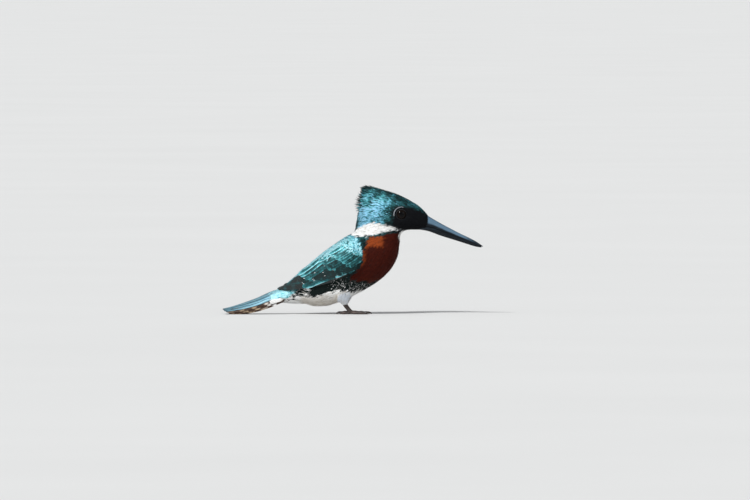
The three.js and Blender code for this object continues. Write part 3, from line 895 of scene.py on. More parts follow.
def make_coat():
    roots, owner = spread()
    for node, kind, own in owned(owner):
        p = roots[own]
        lie, habit = habits(p, kind)
        lie = unit(lie + draw.normal(0, WANDER, p.shape))
        length = habit["length"] * (1 + draw.normal(0, UNEVEN, len(p)))
        rise = habit["lift"] * (0.8 + 0.5 * draw.random(len(p)))
        spine, up = traced(p, lie, length, rise, habit["free"])
        carries = markings(p + draw.normal(0, BLUR, p.shape), kind)
        carries["sheen"] = habit["sheen"]
        vanes(f"feathers_{node}", kind, p, spine, up, habit["width"], habit["fray"], carries)


def make_skin():
    def carried(p, kind):
        values = markings(p, kind)
        # half the painted sheen, for the skin under the coat
        values["sheen"] = habits(p, kind)[1]["sheen"] * 0.5
        return values

    values = by_node(skin_points, nodes_at(skin_points), carried)
    for word, value in (("along", 0.3), ("across", 0.4), ("chance", 0.3)):
        values[word] = np.full(len(skin_points), value)
    skin = piece("skin", skin_points, skin_quads, coat_finish, values)
    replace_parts(skin, *FLESH)


make_skin()
make_coat()


# ---------------------------------------------------------------------------------------------
# Quills: the large feathers of wings and tail, each a closed thin vane
# ---------------------------------------------------------------------------------------------

TOP = np.array([1.0, 0.66, 0.30, 0.07, 0.0, -0.07, -0.30, -0.66, -1.0])
UNDER = np.array([-0.66, -0.2, 0.2, 0.66])
QUILL_STEPS = 1 - (1 - np.linspace(0, 0.985, 22)) ** 1.35
SHAFT = 0.09
THICK = 0.10  # half the thickness of a vane
VANE_ARCH = 0.05
NICK, DEEP_NICK, DEEP_CHANCE = 0.05, 0.16, 0.07  # in the edges, as shares of the web
UV_FILL = 0.88  # share of its cell that a quill takes in the UV map


class Quills:
    """Quills gathered for one piece. Across a quill, 1 is its outer edge and -1 its inner one."""

    def __init__(self):
        self.shapes = []
        self.normals = []
        self.carries = []

    def add(self, spine, up, outer, inner, point=0.12, tilt=0.15, **shares):
        """spine and up are given at QUILL_STEPS and then at the tip. outer and inner are the webs' widths,
        point is the share of the length that narrows to the tip, and tilt raises the outer edge."""
        t = QUILL_STEPS
        tangent = unit(np.gradient(spine, axis=0))[:-1, None]
        normal = up[:-1, None]
        aside = unit(np.cross(normal, tangent))
        length = np.linalg.norm(np.diff(spine, axis=0), axis=1).sum()
        narrowed = np.sqrt(1 - np.clip((t - 1 + point) / point, 0, 0.99) ** 2)
        width = (0.4 + 0.6 * smooth(t, 0, 0.3)) * narrowed
        nicks = 1 - NICK * draw.random((len(t), 2)) - DEEP_NICK * (draw.random((len(t), 2)) < DEEP_CHANCE)
        s = np.concatenate([TOP, UNDER])
        top = np.arange(len(s)) < len(TOP)
        rim = np.abs(s) == 1
        edge = np.where(s == 1, nicks[:, :1], np.where(s == -1, nicks[:, 1:], 1.0))
        half = np.where(s > 0, outer, inner) * width[:, None] * edge
        body = np.where(top, THICK, -THICK) * (1 - s ** 2) + SHAFT * (s == 0)
        height = body + tilt * s * width[:, None] - VANE_ARCH * half * s ** 2
        rings = spine[:-1, None] + aside * (half * s)[..., None] + normal * height[..., None]
        points, faces = loft(rings, spine[0], spine[-1])
        lean = np.where(top, 1.0, -1.0) * np.where(rim, 0.8, 1)
        facing = unit(normal * lean[None, :, None] + aside * (s * 0.45)[None, :, None])
        facing = np.concatenate([up[:1], facing.reshape(-1, 3), up[-1:]])
        across = np.tile(s, len(t))
        from_edge = np.where(s > 0, (1 - s) * half, half * -s + outer * width[:, None]).ravel()
        carries = {
            "along": np.concatenate([[0], np.repeat(t, len(s)), [1]]),
            "across": np.concatenate([[0], across, [0]]),
            "from_edge": np.concatenate([[outer], from_edge, [0]]),
        }
        carries["from_tip"] = (1 - carries["along"]) * length
        for word, value in {"chance": draw.random(), **shares}.items():
            carries[word] = np.full(len(points), value)
        self.shapes.append((points, faces))
        self.normals.append(facing)
        self.carries.append(carries)

    def piece(self, name, finish, slot, side):
        """Made on the right; the left ones are mirrored."""
        columns = math.ceil(math.sqrt(len(self.shapes) * 4))
        rows = math.ceil(len(self.shapes) / columns)
        uv = []
        for index, own in enumerate(self.carries):
            share = np.column_stack([own["across"] / 2 + 0.5, own["along"]])
            share = share * UV_FILL + (1 - UV_FILL) / 2
            uv.append((share + divmod(index, columns)[::-1]) / (columns, rows))
        points, faces = joined(self.shapes)
        normals = np.concatenate(self.normals)
        if side > 0:
            points, faces = mirrored(points, faces)
            normals = normals * [1, -1, 1]
        carries = {word: np.concatenate([own[word] for own in self.carries]) for word in self.carries[0]}
        points[:, 2] = np.maximum(points[:, 2], FLOOR_CLEARANCE)
        return piece(name, points, faces, finish, carries, np.concatenate(uv), normals)


INK = (0.030, 0.033, 0.033)
DEEP_GREEN = (0.005, 0.026, 0.027)
FADED = (0.12, 0.11, 0.10)
UMBER = (0.062, 0.034, 0.022)
TAN = (0.42, 0.31, 0.20)
POWDER_BLUE = (0.21, 0.37, 0.43)
DUSTY_BLUE = (0.13, 0.28, 0.36)
STEEL_BLUE = (0.05, 0.11, 0.14)
SPOT_PITCH = 8.4  # along a quill of the wing
BAR_PITCH = 9.0  # along a quill of the tail


def wing_finish():
    """tone runs from brown-black to green, rim is how bright the outer edge is, partly its own teal and
    partly painted sunlit highlight, faded how far that is lost towards the root, and spotted marks white
    spots."""
    finish = Finish("wing quills", Specular_IOR_Level=0.2)
    across, along, tone, chance = map(finish.carried, ("across", "along", "tone", "chance"))
    rim = finish.carried("rim") * (1.0 - finish.carried("faded") * (1.0 - along.over(0.45, 0.72)))
    barbs = (across.size() * 30.0 - along * 60.0).wave()
    streak = finish.noise(finish.stretched((300, 300, 300)), 1.0, 3.0)
    mottle = finish.noise(finish.place(), 420.0, 3.0, 0.6)
    colour = finish.mix(tone, INK, DEEP_GREEN)
    margin = across.size().over(0.35, 0.95) * 0.55 + along.over(0.82, 0.97) * 0.3
    lively = 0.35 + tone * 1.2
    # painted light: bright lifts the quills' teal edges and tips to painted sunlit highlights
    bright = rim * (0.55 + margin) + (mottle - 0.5) * lively + (streak - 0.5) * 0.5 + (chance - 0.5) * 0.3
    bright = bright - (1.0 - across.size().over(0.02, 0.09)) * 0.25 + barbs * 0.05
    colour = finish.mix(bright.over(0.12, 0.6), colour, SEA_GREEN)
    colour = finish.mix(bright.over(0.55, 0.95), colour, BRIGHT_TEAL)
    colour = finish.mix(bright.over(0.85, 1.35), colour, PAINTED_HIGHLIGHT_TEAL)
    place = (finish.carried("from_tip") + 3.0 + chance * 1.6) * (1 / SPOT_PITCH)
    run = (place.part() - 0.5) * SPOT_PITCH
    aside = finish.carried("from_edge") - 0.35
    ragged = (mottle - 0.5) * 1.1
    spot = 1.0 - (run * run * 0.5 + aside * aside * 2.6 + ragged).over(0.04, 0.22)
    spot = finish.carried("spotted") * spot
    # painted glints of bright teal near the tips
    glint = along.over(0.6, 0.95) * streak.over(0.52, 0.62) * tone
    colour = finish.mix(glint * 0.7, colour, BRIGHT_TEAL)
    worn = across.size().over(0.84, 1.0) * (1.0 - tone) * 0.6
    colour = finish.mix(worn, colour, FADED)
    colour = finish.mix(spot, colour, CHALK)
    ribs = barbs * 0.35 + streak
    return finish.surface(
        Base_Color=colour,
        Metallic=(1.0 - spot) * (0.1 + 0.25 * tone),
        Roughness=0.36 + (streak - 0.5) * 0.25,
        Normal=finish.bump(ribs, 0.04, 0.5),
    )


def tail_finish():
    """tone runs from brown to blue, and bars is how strong the pale notches of the brown ones are."""
    finish = Finish("tail quills", Specular_IOR_Level=0.25)
    across, along, chance = map(finish.carried, ("across", "along", "chance"))
    tone, bars = map(finish.carried, ("tone", "bars"))
    streak = finish.noise(finish.stretched((160, 500, 500)), 1.0, 3.0)
    brown = finish.mix((streak + chance * 0.3).over(0.3, 0.8), INK, UMBER)
    wobble = finish.noise(finish.stretched((300, 300, 300)), 1.0, 2.0)
    run = ((finish.carried("from_tip") + chance * BAR_PITCH + wobble * 3.0) * (1 / BAR_PITCH)).part()
    notch = (1.0 - ((run - 0.5).size() + wobble * 0.5).over(0.30, 0.56)) * across.size().over(0.15, 0.55)
    notch = notch * (1.0 - along.over(0.62, 0.95) * 0.75) * streak.over(0.3, 0.5)
    brown = finish.mix(bars * notch, brown, finish.mix(along.over(0.25, 0.55), CHALK, TAN))
    blue = finish.mix((streak + (chance - 0.5) * 0.3).over(0.25, 0.8), DUSTY_BLUE, POWDER_BLUE)
    blue = finish.mix(across.size().over(0.05, 0.0), blue, STEEL_BLUE)
    blue = finish.mix((along + across.size() * 0.06).over(0.95, 1.05) * 0.7, blue, INK)
    barbs = (across.size() * 30.0 - along * 60.0).wave()
    return finish.surface(
        Base_Color=finish.mix(tone, brown, blue),
        Metallic=tone * 0.35,
        Roughness=0.42 + (streak - 0.5) * 0.25,
        Normal=finish.bump(barbs * 0.3 + streak, 0.04, 0.5),
    )


# ---------------------------------------------------------------------------------------------
# Wings
# ---------------------------------------------------------------------------------------------

FLANK_X = np.arange(-64.0, 17.0)
FLANK_Z = np.arange(4.0, 70.0)
FAR_RIGHT = -60


def flank_of(nodes):
    """How far out the closed wing's smooth side lies, over a grid of X and Z."""
    tree = tree_of(*joined([solid_of(node) for node in nodes]))
    out = np.full((len(FLANK_X), len(FLANK_Z)), np.nan)
    for i, x in enumerate(FLANK_X):
        for j, z in enumerate(FLANK_Z):
            hit = tree.ray_cast(Vector((x, FAR_RIGHT, z)), Vector((0, 1, 0)))[0]
            if hit:
                out[i, j] = -hit.y
    while np.isnan(out).any():
        near = np.pad(out, 1, constant_values=np.nan)
        around = np.stack([near[:-2, 1:-1], near[2:, 1:-1], near[1:-1, :-2], near[1:-1, 2:]])
        count = (~np.isnan(around)).sum(0)
        mean = np.nansum(around, 0) / np.maximum(count, 1)
        out = np.where(np.isnan(out) & (count > 0), mean, out)
    for _ in range(6):
        near = np.pad(out, 1, mode="edge")
        out = (near[:-2, 1:-1] + near[2:, 1:-1] + near[1:-1, :-2] + near[1:-1, 2:] + 4 * out) / 8
    return out


flank = flank_of(["wing_right", "primaries_right", "back"])
flank_slope = np.gradient(flank)


def on_wing(x, z, depth):
    """Points that far under the right wing's side, and the side's normals there."""
    i = np.clip(x - FLANK_X[0], 0, len(FLANK_X) - 1.001)
    j = np.clip(z - FLANK_Z[0], 0, len(FLANK_Z) - 1.001)
    a, b = i.astype(int), j.astype(int)
    u, v = i - a, j - b

    def read(grid):
        low = lerp(grid[a, b], grid[a + 1, b], u)
        return lerp(low, lerp(grid[a, b + 1], grid[a + 1, b + 1], u), v)

    normal = unit(np.column_stack([-read(flank_slope[0]), -np.ones_like(x), -read(flank_slope[1])]))
    return np.column_stack([x, -read(flank), z]) - normal * np.reshape(depth, (-1, 1)), normal


def on_skin(x, z, depth):
    """Points over the right side's skin, that far under the coat's tips, and the skin's normals there.
    Past the flesh the points lie under the wing's side instead."""
    free, free_normal = on_wing(x, z, depth)
    found = [skin_tree.find_nearest(Vector(point))[:2] for point in on_wing(x, z, 1.0)[0]]
    normal = np.array([face for _, face in found])
    normal = unit(lerp(normal, normal.mean(0), 0.3))
    points = np.array([near for near, _ in found]) + normal * (SKIN_DEPTH - depth)[:, None]
    past = past_flesh(x, z, 9.0, 6.0)[:, None]
    points = lerp(points, free, past)
    for _ in range(3):
        points[1:-1] = (points[:-2] + 2 * points[1:-1] + points[2:]) / 4
    return points, unit(lerp(normal, free_normal, past))


# Each row runs from its lowest quill to its highest. Pairs are for the lowest and the highest: roots and
# tips in X and Z, depth under the tips of the coat, upward arch, and brightness of the rim, which is partly
# the quills' own teal edge and partly painted sunlit highlight and shade. webs are the widths of the outer
# and the inner web. point and tone are as Quills.add and wing_finish take them, faded is how far the rim is
# lost towards the root, and spotted is the chance of white spots.
WING_ROWS = [
    dict(
        name="primaries", count=9, roots=((-4, 29), (-12, 35)), tips=((-54.2, 17.9), (-41, 26.5)),
        webs=(1.1, 2.6), depth=(0.9, 0.25), arch=(-2.6, -0.5), point=0.10,
        tone=0.1, rim=(0.30, 0.12), faded=0, spotted=0,
    ),
    dict(
        name="secondaries", count=9, roots=((0, 31), (-14, 42)), tips=((-34.5, 18.8), (-39.5, 27)),
        webs=(1.7, 2.6), depth=(0.65, 0.85), arch=(1.2, -0.8), point=0.10,
        tone=0.6, rim=(1.2, 0), faded=0.7, spotted=0.5,
    ),
    dict(
        name="primary_coverts", count=5, roots=((6, 34.5), (5, 37.5)), tips=((-12.5, 26.8), (-10, 31)),
        webs=(1.4, 1.8), depth=(0.65, 0.65), arch=(0.4, 0), point=0.14,
        tone=0.5, rim=(1.0, -0.1), faded=0.5, spotted=0.4,
    ),
    dict(
        name="greater_coverts", count=10, roots=((6, 36), (-10, 48)), tips=((-10, 28.6), (-25, 38.5)),
        webs=(1.8, 2.3), depth=(0.55, 0.55), arch=(0.3, -0.6), point=0.16,
        tone=0.8, rim=(-0.3, 1.0), faded=0, spotted=0.25,
    ),
    dict(
        name="tertials", count=4, roots=((-12, 41), (-18, 46)), tips=((-34, 26), (-39.5, 28.8)),
        webs=(2.6, 3.0), depth=(0.5, 0.5), arch=(-0.3, -1.0), point=0.16,
        tone=0.6, rim=(0.4, 1.2), faded=0, spotted=0.5,
    ),
    dict(
        name="median_coverts", count=10, roots=((8, 41), (-5, 51)), tips=((-2, 34.5), (-17, 43.5)),
        webs=(1.8, 2.0), depth=(0.35, 0.35), arch=(0.2, -0.4), point=0.2,
        tone=0.9, rim=(0.45, 1.25), faded=0, spotted=0,
    ),
]
PRIMARY_ROOTS_DEPTH = 1.12  # over the flesh, where the other rows cover the primaries
ROOTS_DEEPER = 0.35
WING_TILT = 0.16


def wing_quills(row):
    quills = Quills()
    t = np.append(QUILL_STEPS, 1.0)
    for index in range(row["count"]):
        share = index / (row["count"] - 1)
        root = lerp(*(np.array(place) for place in row["roots"]), share)
        tip = lerp(*(np.array(place) for place in row["tips"]), share)
        tip = tip + unit(tip - root) * draw.normal(0, 0.5) + draw.normal(0, 0.15, 2)
        way = tip - root
        rise = np.array([way[1], -way[0]]) / np.linalg.norm(way) * lerp(*row["arch"], share)
        x, z = (root + way * t[:, None] + rise * (4 * t * (1 - t))[:, None]).T
        depth = lerp(*row["depth"], share) + ROOTS_DEEPER * (1 - smooth(t, 0, 0.5))
        if row["name"] == "primaries":
            spine, up = on_wing(x, z, lerp(PRIMARY_ROOTS_DEPTH, depth, past_flesh(x, z, 0, 6)))
        else:
            spine, up = on_skin(x, z, depth)
        outer, inner = row["webs"]
        spotted = float(draw.random() < row["spotted"])
        rim = lerp(*row["rim"], share ** (1 - row["faded"])) * (0.8 + 0.4 * draw.random())
        shares = {"tone": row["tone"], "rim": rim, "faded": row["faded"], "spotted": spotted}
        quills.add(spine, up, outer, inner, row["point"], WING_TILT, **shares)
    return quills


def make_wings():
    finish = wing_finish()
    for side, way in SIDES.items():
        for row in WING_ROWS:
            slot = "flight_feathers" if row["name"] in ("primaries", "secondaries") else "plumage_green"
            made = wing_quills(row).piece(f"{row['name']}_of_{side}_wing", finish, slot, way)
            if row["name"] == "primaries":
                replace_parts(made, f"primaries_{side}")


# ---------------------------------------------------------------------------------------------
# Tail
# ---------------------------------------------------------------------------------------------

# X, the height of the ridge, half the width, how far the sides drop
TAIL = [
    (-94.5, 3.6, 8.6, 2.6), (-87, 5.6, 9.0, 4.3), (-78.6, 8.2, 8.9, 6.8),
    (-69.3, 11.4, 8.4, 8.7), (-58.7, 16.0, 7.6, 10.2), (-45, 20.2, 6.6, 9.0), (-32, 24.2, 5.6, 8.0),
]
TAIL_ROOT = -44.0
# Place on the arch, tip in X, depth, tone from brown to blue, and bars.
RECTRICES = [
    (0.19, -93.7, 0.15, 1.0, 0.0),
    (0.37, -93.3, 0.40, 1.0, 0.0),
    (0.54, -92.5, 0.62, 0.9, 0.3),
    (0.68, -91.3, 0.84, 0.0, 1.0),
    (0.80, -89.8, 1.04, 0.0, 1.0),
    (0.90, -88.2, 1.24, 0.0, 1.0),
]
RECTRIX_WEBS = (2.3, 2.9)


def on_tail(x, share, depth):
    """Points that far under the tail's arch on the right, at shares of its half width."""

    def place(at, part):
        ridge, half, drop = curve(TAIL, at).T
        return np.column_stack([at, -half * np.sin(part * math.pi / 2), ridge - drop * np.abs(part) ** 1.7])

    small = 0.01
    down = place(x, share + small) - place(x, share - small)
    back = place(x - small, share) - place(x + small, share)
    normal = unit(np.cross(back, down))
    return place(x, share) - normal * np.reshape(depth, (-1, 1)), normal


def make_tail():
    finish = tail_finish()
    t = np.append(QUILL_STEPS, 1.0)
    for side, way in SIDES.items():
        quills = Quills()
        for place, tip, depth, tone, bars in RECTRICES:
            x = lerp(TAIL_ROOT, tip, t)
            spine, up = on_tail(x, np.full_like(x, place), np.full_like(x, depth))
            quills.add(spine, up, *RECTRIX_WEBS, 0.06, 0.1, tone=tone, bars=bars)
        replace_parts(quills.piece(f"tail_feathers_{side}", finish, "tail_feathers", way), "tail")


def under_tail(x, share, depth):
    """Under the root of the tail, where soft feathers fill its hollow."""
    z = 7.0 + (-36 - x) * 0.085 + 2.2 * share ** 2 + depth
    none = np.zeros_like(x)
    return np.column_stack([x, share * 5.0, z]), unit(np.column_stack([none, 0.5 * share, none - 1.0]))


def tail_coverts(name, count, place):
    """Soft feathers over or under the root of the tail. place gives points and normals from X, a share of
    the way aside and a depth."""
    x = -34.0 - 19.0 * draw.random(count) ** 0.9
    share = draw.uniform(-0.86, 0.86, count)
    length = TAIL_COVERT_LONG + 1.5 * draw.random(count) - 1.5 * np.abs(share)
    spine = np.empty((count, SPINE + 1, 3))
    up = np.empty_like(spine)
    for k in range(SPINE + 1):
        t = k / SPINE
        spine[:, k], up[:, k] = place(x - length * t, share, lerp(0.5, -0.25, t) + 0.1 * draw.random(count))
    carries = markings(spine[:, 2], "rump")
    # painted sheen of the tail coverts
    carries["sheen"] = np.full(count, 1.05)
    width, fray = np.full(count, TAIL_COVERT_WIDE), np.full(count, 0.5)
    vanes(name, "rump", spine[:, 0], spine, up, width, fray, carries)


# ---------------------------------------------------------------------------------------------
# Bill
# ---------------------------------------------------------------------------------------------

# In X and Z: the ridge of the upper half, the cutting edges and the ridge of the lower half.
CULMEN = [
    (47, 75.6), (54.6, 70.6), (63.4, 65.4), (71.1, 61.3), (77.5, 58), (84, 54.9), (89.4, 52), (93.9, 48.9),
]
GAPE = [
    (40, 61.9), (47, 62.6), (54.6, 63.0), (62.6, 60.6), (71, 57.3),
    (77.5, 54.8), (84, 52.2), (89.4, 50.1), (94, 48.3),
]
GONYS = [
    (47, 61), (54.6, 59.6), (62.6, 56.7), (70.4, 54.2),
    (76.9, 52.2), (83.4, 50.1), (88.8, 48.5), (93.5, 47.8),
]
# Half the bill's width, by X.
BILL_HALF = [
    (47, 5.5), (54.6, 4.8), (63, 3.9), (71, 3.15), (77.5, 2.5), (84, 1.85), (89.2, 1.2), (93.9, 0.4),
]
BILL_ROOT = 48.0
BILL_LONG = 46
UPPER_TIP, LOWER_TIP = 93.9, 92.9
LOWER_NARROWER = 0.93
EDGE_LAP = 0.05  # how far the lower half's edges run up inside the upper one's
HORN_BLACK = (0.003, 0.005, 0.008)
HORN_SLATE = (0.009, 0.015, 0.022)
PAINTED_SKY_SHEEN_AND_PALE_BASE = (0.095, 0.165, 0.235)
NOSTRIL = {"x": 59.4, "high": 0.56, "long": 1.5, "tall": 0.10, "deep": 0.55}
BILL_STEPS = 110
OUTSIDE_STEPS, INSIDE_STEPS = 33, 9


def mandible(edge, ridge, half, first, last, fullness):
    """One half of the bill, between its cutting edge and its ridge."""
    x = lerp(first, last, 1 - (1 - np.linspace(0, 1, BILL_STEPS)) ** 1.15)[:-1]
    low = curve(edge, x)[:, :1]
    high = curve(ridge, x)[:, :1]
    wide = curve(half, x)[:, :1]
    turn = np.linspace(0, math.pi, OUTSIDE_STEPS)[None, :]
    outer_y = wide * np.sign(np.cos(turn)) * np.abs(np.cos(turn)) ** fullness
    outer_z = low + (high - low) * np.sin(turn) ** 0.92
    inner = np.linspace(-0.8, 0.8, INSIDE_STEPS)[None, :]
    inner_y = wide * inner
    inner_z = low + (high - low) * 0.12 * (1 - inner ** 2)
    y = np.concatenate([outer_y, inner_y], 1)
    z = np.concatenate([outer_z, inner_z], 1)
    rings = np.stack([np.broadcast_to(x[:, None], y.shape), y, z], 2)
    if (high < low).any():
        rings = rings[:, ::-1]
    tip = np.array([last, 0, (curve(edge, [last])[0, 0] + curve(ridge, [last])[0, 0]) / 2])
    return loft(rings, rings[0].mean(0), tip)


def bill_finish():
    """high runs from the gape to the ridge and reach from the base to the tip. upper is 1 on the upper half
    and 0 on the lower. The blue-grey is a painted sky reflection along the upper half's ridge, and paler
    horn at the lower half's base."""
    finish = Finish("bill horn", Coat_Weight=0.03, Coat_Roughness=0.25, Specular_IOR_Level=0.16)
    high, reach, upper = map(finish.carried, ("high", "reach", "upper"))
    grain = finish.noise(finish.stretched((90, 700, 700)), 1.0, 4.0)
    cloud = finish.noise(finish.stretched((150, 400, 400)), 1.0, 2.0)
    colour = finish.mix(grain.over(0.3, 0.8), HORN_BLACK, HORN_SLATE)
    # painted reflection: blue-grey sky sheen along the upper ridge, fading towards the tip
    ridge = high.over(0.12, 0.5) * (1.0 - reach.over(0.62, 0.96) * 0.85)
    ridge = ridge * (1.0 - high.over(0.85, 1.0) * 0.5)
    base = (1.0 - reach.over(0.0, 0.3)) * (1.0 - (high - 0.4).size().over(0.1, 0.5)) * 0.35
    sky_sheen_and_base = upper * ridge + (1.0 - upper) * base + (cloud - 0.5) * 0.7 + (grain - 0.5) * 0.3
    colour = finish.mix(sky_sheen_and_base.over(0.1, 1.0), colour, PAINTED_SKY_SHEEN_AND_PALE_BASE)
    return finish.surface(
        Base_Color=colour, Roughness=0.34 + grain * 0.22, Normal=finish.bump(grain + cloud, 0.05, 0.5)
    )


def make_bill():
    finish = bill_finish()
    lower_edge = [(x, z + EDGE_LAP) for x, z in GAPE]
    lower_half = [(x, half * LOWER_NARROWER) for x, half in BILL_HALF]
    for node, edge, ridge, half, tip, fullness in (
        ("bill_upper", GAPE, CULMEN, BILL_HALF, UPPER_TIP, 0.80),
        ("bill_lower", lower_edge, GONYS, lower_half, LOWER_TIP, 0.85),
    ):
        points, faces = mandible(edge, ridge, half, BILL_ROOT, tip, fullness)
        x = points[:, 0]
        low, top = curve(edge, x)[:, 0], curve(ridge, x)[:, 0]
        high = (points[:, 2] - low) / (top - low)
        if node == "bill_upper":
            along, up = (x - NOSTRIL["x"]) / NOSTRIL["long"], (high - NOSTRIL["high"]) / NOSTRIL["tall"]
            points[:, 1] -= np.sign(points[:, 1]) * NOSTRIL["deep"] * np.exp(-(along ** 2 + up ** 2))
        upper = np.full(len(x), float(node == "bill_upper"))
        carries = {"high": high, "reach": (x - BILL_ROOT) / BILL_LONG, "upper": upper}
        name = node.replace("bill", "mandible")
        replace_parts(piece(name, points, faces, finish, carries), node)


# ---------------------------------------------------------------------------------------------
# Eyes and lids
# ---------------------------------------------------------------------------------------------

PUPIL = (0.0010, 0.0010, 0.0012)
IRIS_DARK = (0.0030, 0.0014, 0.0008)
IRIS_BROWN = (0.0070, 0.0035, 0.0018)
IRIS_RIM = (0.0015, 0.0012, 0.0012)
LID_BLACK = (0.004, 0.0045, 0.006)
LID_GREY = (0.012, 0.014, 0.017)
# Each ring of a lid: angle out from the opening, height over the eye, thickness and number of folds.
LID_RINGS = ((0.0, 0.05, 0.15, 34), (0.08, 0.08, 0.18, 27))
CRESCENT_COUNT = 46  # feathers, in two rows
CRESCENT_ENDS = (192, 88)  # degrees, from straight ahead and up
CRESCENT_MIDDLE = (35.1, 71.8)  # in X and Z
CRESCENT_REACH = (5.15, 5.42)


def eye_finish():
    """turn runs from 0 at the gaze to 1 at the lids."""
    finish = Finish("eye", Roughness=0.3, Coat_Weight=0.2, Coat_Roughness=0.03, Specular_IOR_Level=0.02)
    turn = finish.carried("turn")
    fibre = finish.noise(finish.place(), 900.0, 3.0)
    colour = finish.mix(turn.over(0.44, 0.50), PUPIL, finish.mix(fibre, IRIS_DARK, IRIS_BROWN))
    colour = finish.mix(turn.over(0.84, 0.96), colour, IRIS_RIM)
    return finish.surface(Base_Color=colour)


def lid_finish():
    finish = Finish("lid skin", Specular_IOR_Level=0.4)
    grain = finish.noise(finish.place(), 1800.0, 3.0)
    return finish.surface(
        Base_Color=finish.mix(grain.over(0.3, 0.7), LID_BLACK, LID_GREY),
        Roughness=0.45 + grain * 0.2,
        Normal=finish.bump(grain, 0.05, 0.5),
    )


def eye_frame(side):
    """The gaze, and the directions forward and up across it."""
    out = gaze(side)
    ahead = unit(np.cross([0, 0, 1], out) * SIDES[side])
    ahead = unit(ahead * -1 if ahead[0] < 0 else ahead)
    above = unit(np.cross(out, ahead))
    return out, ahead, above * np.sign(above[2])


def make_eyeball(side, finish):
    out, ahead, above = eye_frame(side)
    turn = np.linspace(0, EYE_ROUND, 26)[1:]
    across, up = circle(48)
    round_about = ahead * across + above * up
    bulge = EYE_RADIUS * (0.985 - 0.04 * (1 - smooth(turn, 0.0, 0.9)))
    rings = EYE_AT[side] + bulge[:, None, None] * (
        np.cos(turn)[:, None, None] * out + np.sin(turn)[:, None, None] * round_about
    )
    if np.dot(np.cross(ahead, above), out) > 0:
        rings = rings[:, ::-1]
    points, faces = loft(rings, EYE_AT[side] + out * bulge[0], EYE_AT[side] - out * 0.6 * EYE_RADIUS)
    angle = np.arccos(np.clip(unit(points - EYE_AT[side]) @ out, -1, 1))
    eye = piece(f"eyeball_{side}", points, faces, finish, {"turn": angle / EYE_OPEN})
    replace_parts(eye, f"eye_{side}")


def make_lids(side, finish):
    out, ahead, above = eye_frame(side)
    around = np.linspace(0, 2 * math.pi, 120, endpoint=False)
    round_about = ahead * np.cos(around)[:, None] + above * np.sin(around)[:, None]
    opening = EYE_OPEN + 0.05 * np.cos(around * 2) - 0.05 * np.sin(around)
    a, b = circle(8)
    grid = np.arange(len(around) * len(a)).reshape(-1, len(a))
    after, beside = np.roll(grid, -1, 0), np.roll(grid, -1, 1)
    faces = np.stack([grid, beside, np.roll(after, -1, 1), after], 2).reshape(-1, 4)
    shapes = []
    for width, lift, thick, folds in LID_RINGS:
        reach = EYE_AT[side] + (EYE_RADIUS + lift) * (
            np.cos(opening + width)[:, None] * out + np.sin(opening + width)[:, None] * round_about
        )
        tangent = unit(np.roll(reach, -1, 0) - np.roll(reach, 1, 0))
        away = unit(reach - EYE_AT[side])
        aside = np.cross(tangent, away)
        size = thick * (1 + 0.18 * np.sin(around * folds))[:, None, None]
        ring = reach[:, None] + size * (away[:, None] * a + aside[:, None] * b)
        shapes.append((ring.reshape(-1, 3), faces))
    points, faces = joined(shapes)
    piece(f"lids_{side}", points, faces, finish)


def make_eyes():
    gloss, skin = eye_finish(), lid_finish()
    for side in SIDES:
        make_eyeball(side, gloss)
        make_lids(side, skin)


def make_painted_eye_highlights():
    """A painted highlight: a pale crescent of tiny feathers behind and above each eye, in two overlapping
    rows.
    """
    count = CRESCENT_COUNT
    turn = np.radians(np.tile(np.linspace(*CRESCENT_ENDS, count // 2), 2))
    reach = np.repeat(CRESCENT_REACH, count // 2)
    middle_x, middle_z = CRESCENT_MIDDLE
    for side, way in SIDES.items():
        roots, lies = [], []
        for angle, radius in zip(turn, reach):
            ahead, above = math.cos(angle), math.sin(angle)
            outside = Vector((middle_x + radius * ahead, way * 40, middle_z + radius * above))
            roots.append(skin_tree.ray_cast(outside, Vector((0, -way, 0)))[0])
            lies.append((above, 0, -ahead))
        roots = np.array(roots)
        length, rise = np.full(count, 1.5), np.full(count, 0.25)
        spine, up = traced(roots, np.array(lies), length, rise, np.zeros(count))
        spine = spine + up * 0.15
        carries = {word: np.zeros(count) for word in ("rufous", "black", "spots", "glow", "sheen")}
        carries["white"] = draw.uniform(0.15, 0.5, count)
        carries["cool"] = np.ones(count)
        width, fray = np.full(count, 0.42), np.full(count, 0.8)
        vanes(f"painted_eye_highlight_{side}", "head", roots, spine, up, width, fray, carries)


# ---------------------------------------------------------------------------------------------
# Feet
# ---------------------------------------------------------------------------------------------

TOE_RADIUS = 1.05
SHANK_RADIUS = 1.3
ANKLE = (-5.2, 6.6)  # in X and Z
FOOT_BASE = (-1.6, 1.7)
FOOT_ASIDE = 7.2
# Angle from straight ahead, length, thickness.
TOES = [(-26, 8.6, 0.9), (-4, 12.4, 1.0), (11, 11.0, 0.95), (172, 7.2, 1.0)]
CLAW_LONG = 3.2
CLAW_RADII = [0.62, 0.52, 0.34, 0.08]
LIMB_SIDES = 16
FOOT_SLATE = (0.030, 0.024, 0.022)
FOOT_BROWN = (0.085, 0.058, 0.048)
PLATE_SEAM = (0.016, 0.013, 0.012)
CLAW_BLACK = (0.010, 0.008, 0.008)
CLAW_BROWN = (0.050, 0.038, 0.032)


def foot_finish():
    """plates is 1 in the seams between the scutes."""
    finish = Finish("foot skin", Specular_IOR_Level=0.45)
    plates = finish.carried("plates")
    grain = finish.noise(finish.place(), 1500.0, 4.0)
    patch = finish.noise(finish.place(), 380.0, 3.0)
    colour = finish.mix(patch.over(0.3, 0.7), FOOT_SLATE, FOOT_BROWN)
    return finish.surface(
        Base_Color=finish.mix(plates.over(0.5, 0.9), colour, PLATE_SEAM),
        Roughness=0.42 + grain * 0.25,
        Normal=finish.bump(grain + patch, 0.06, 0.6),
    )


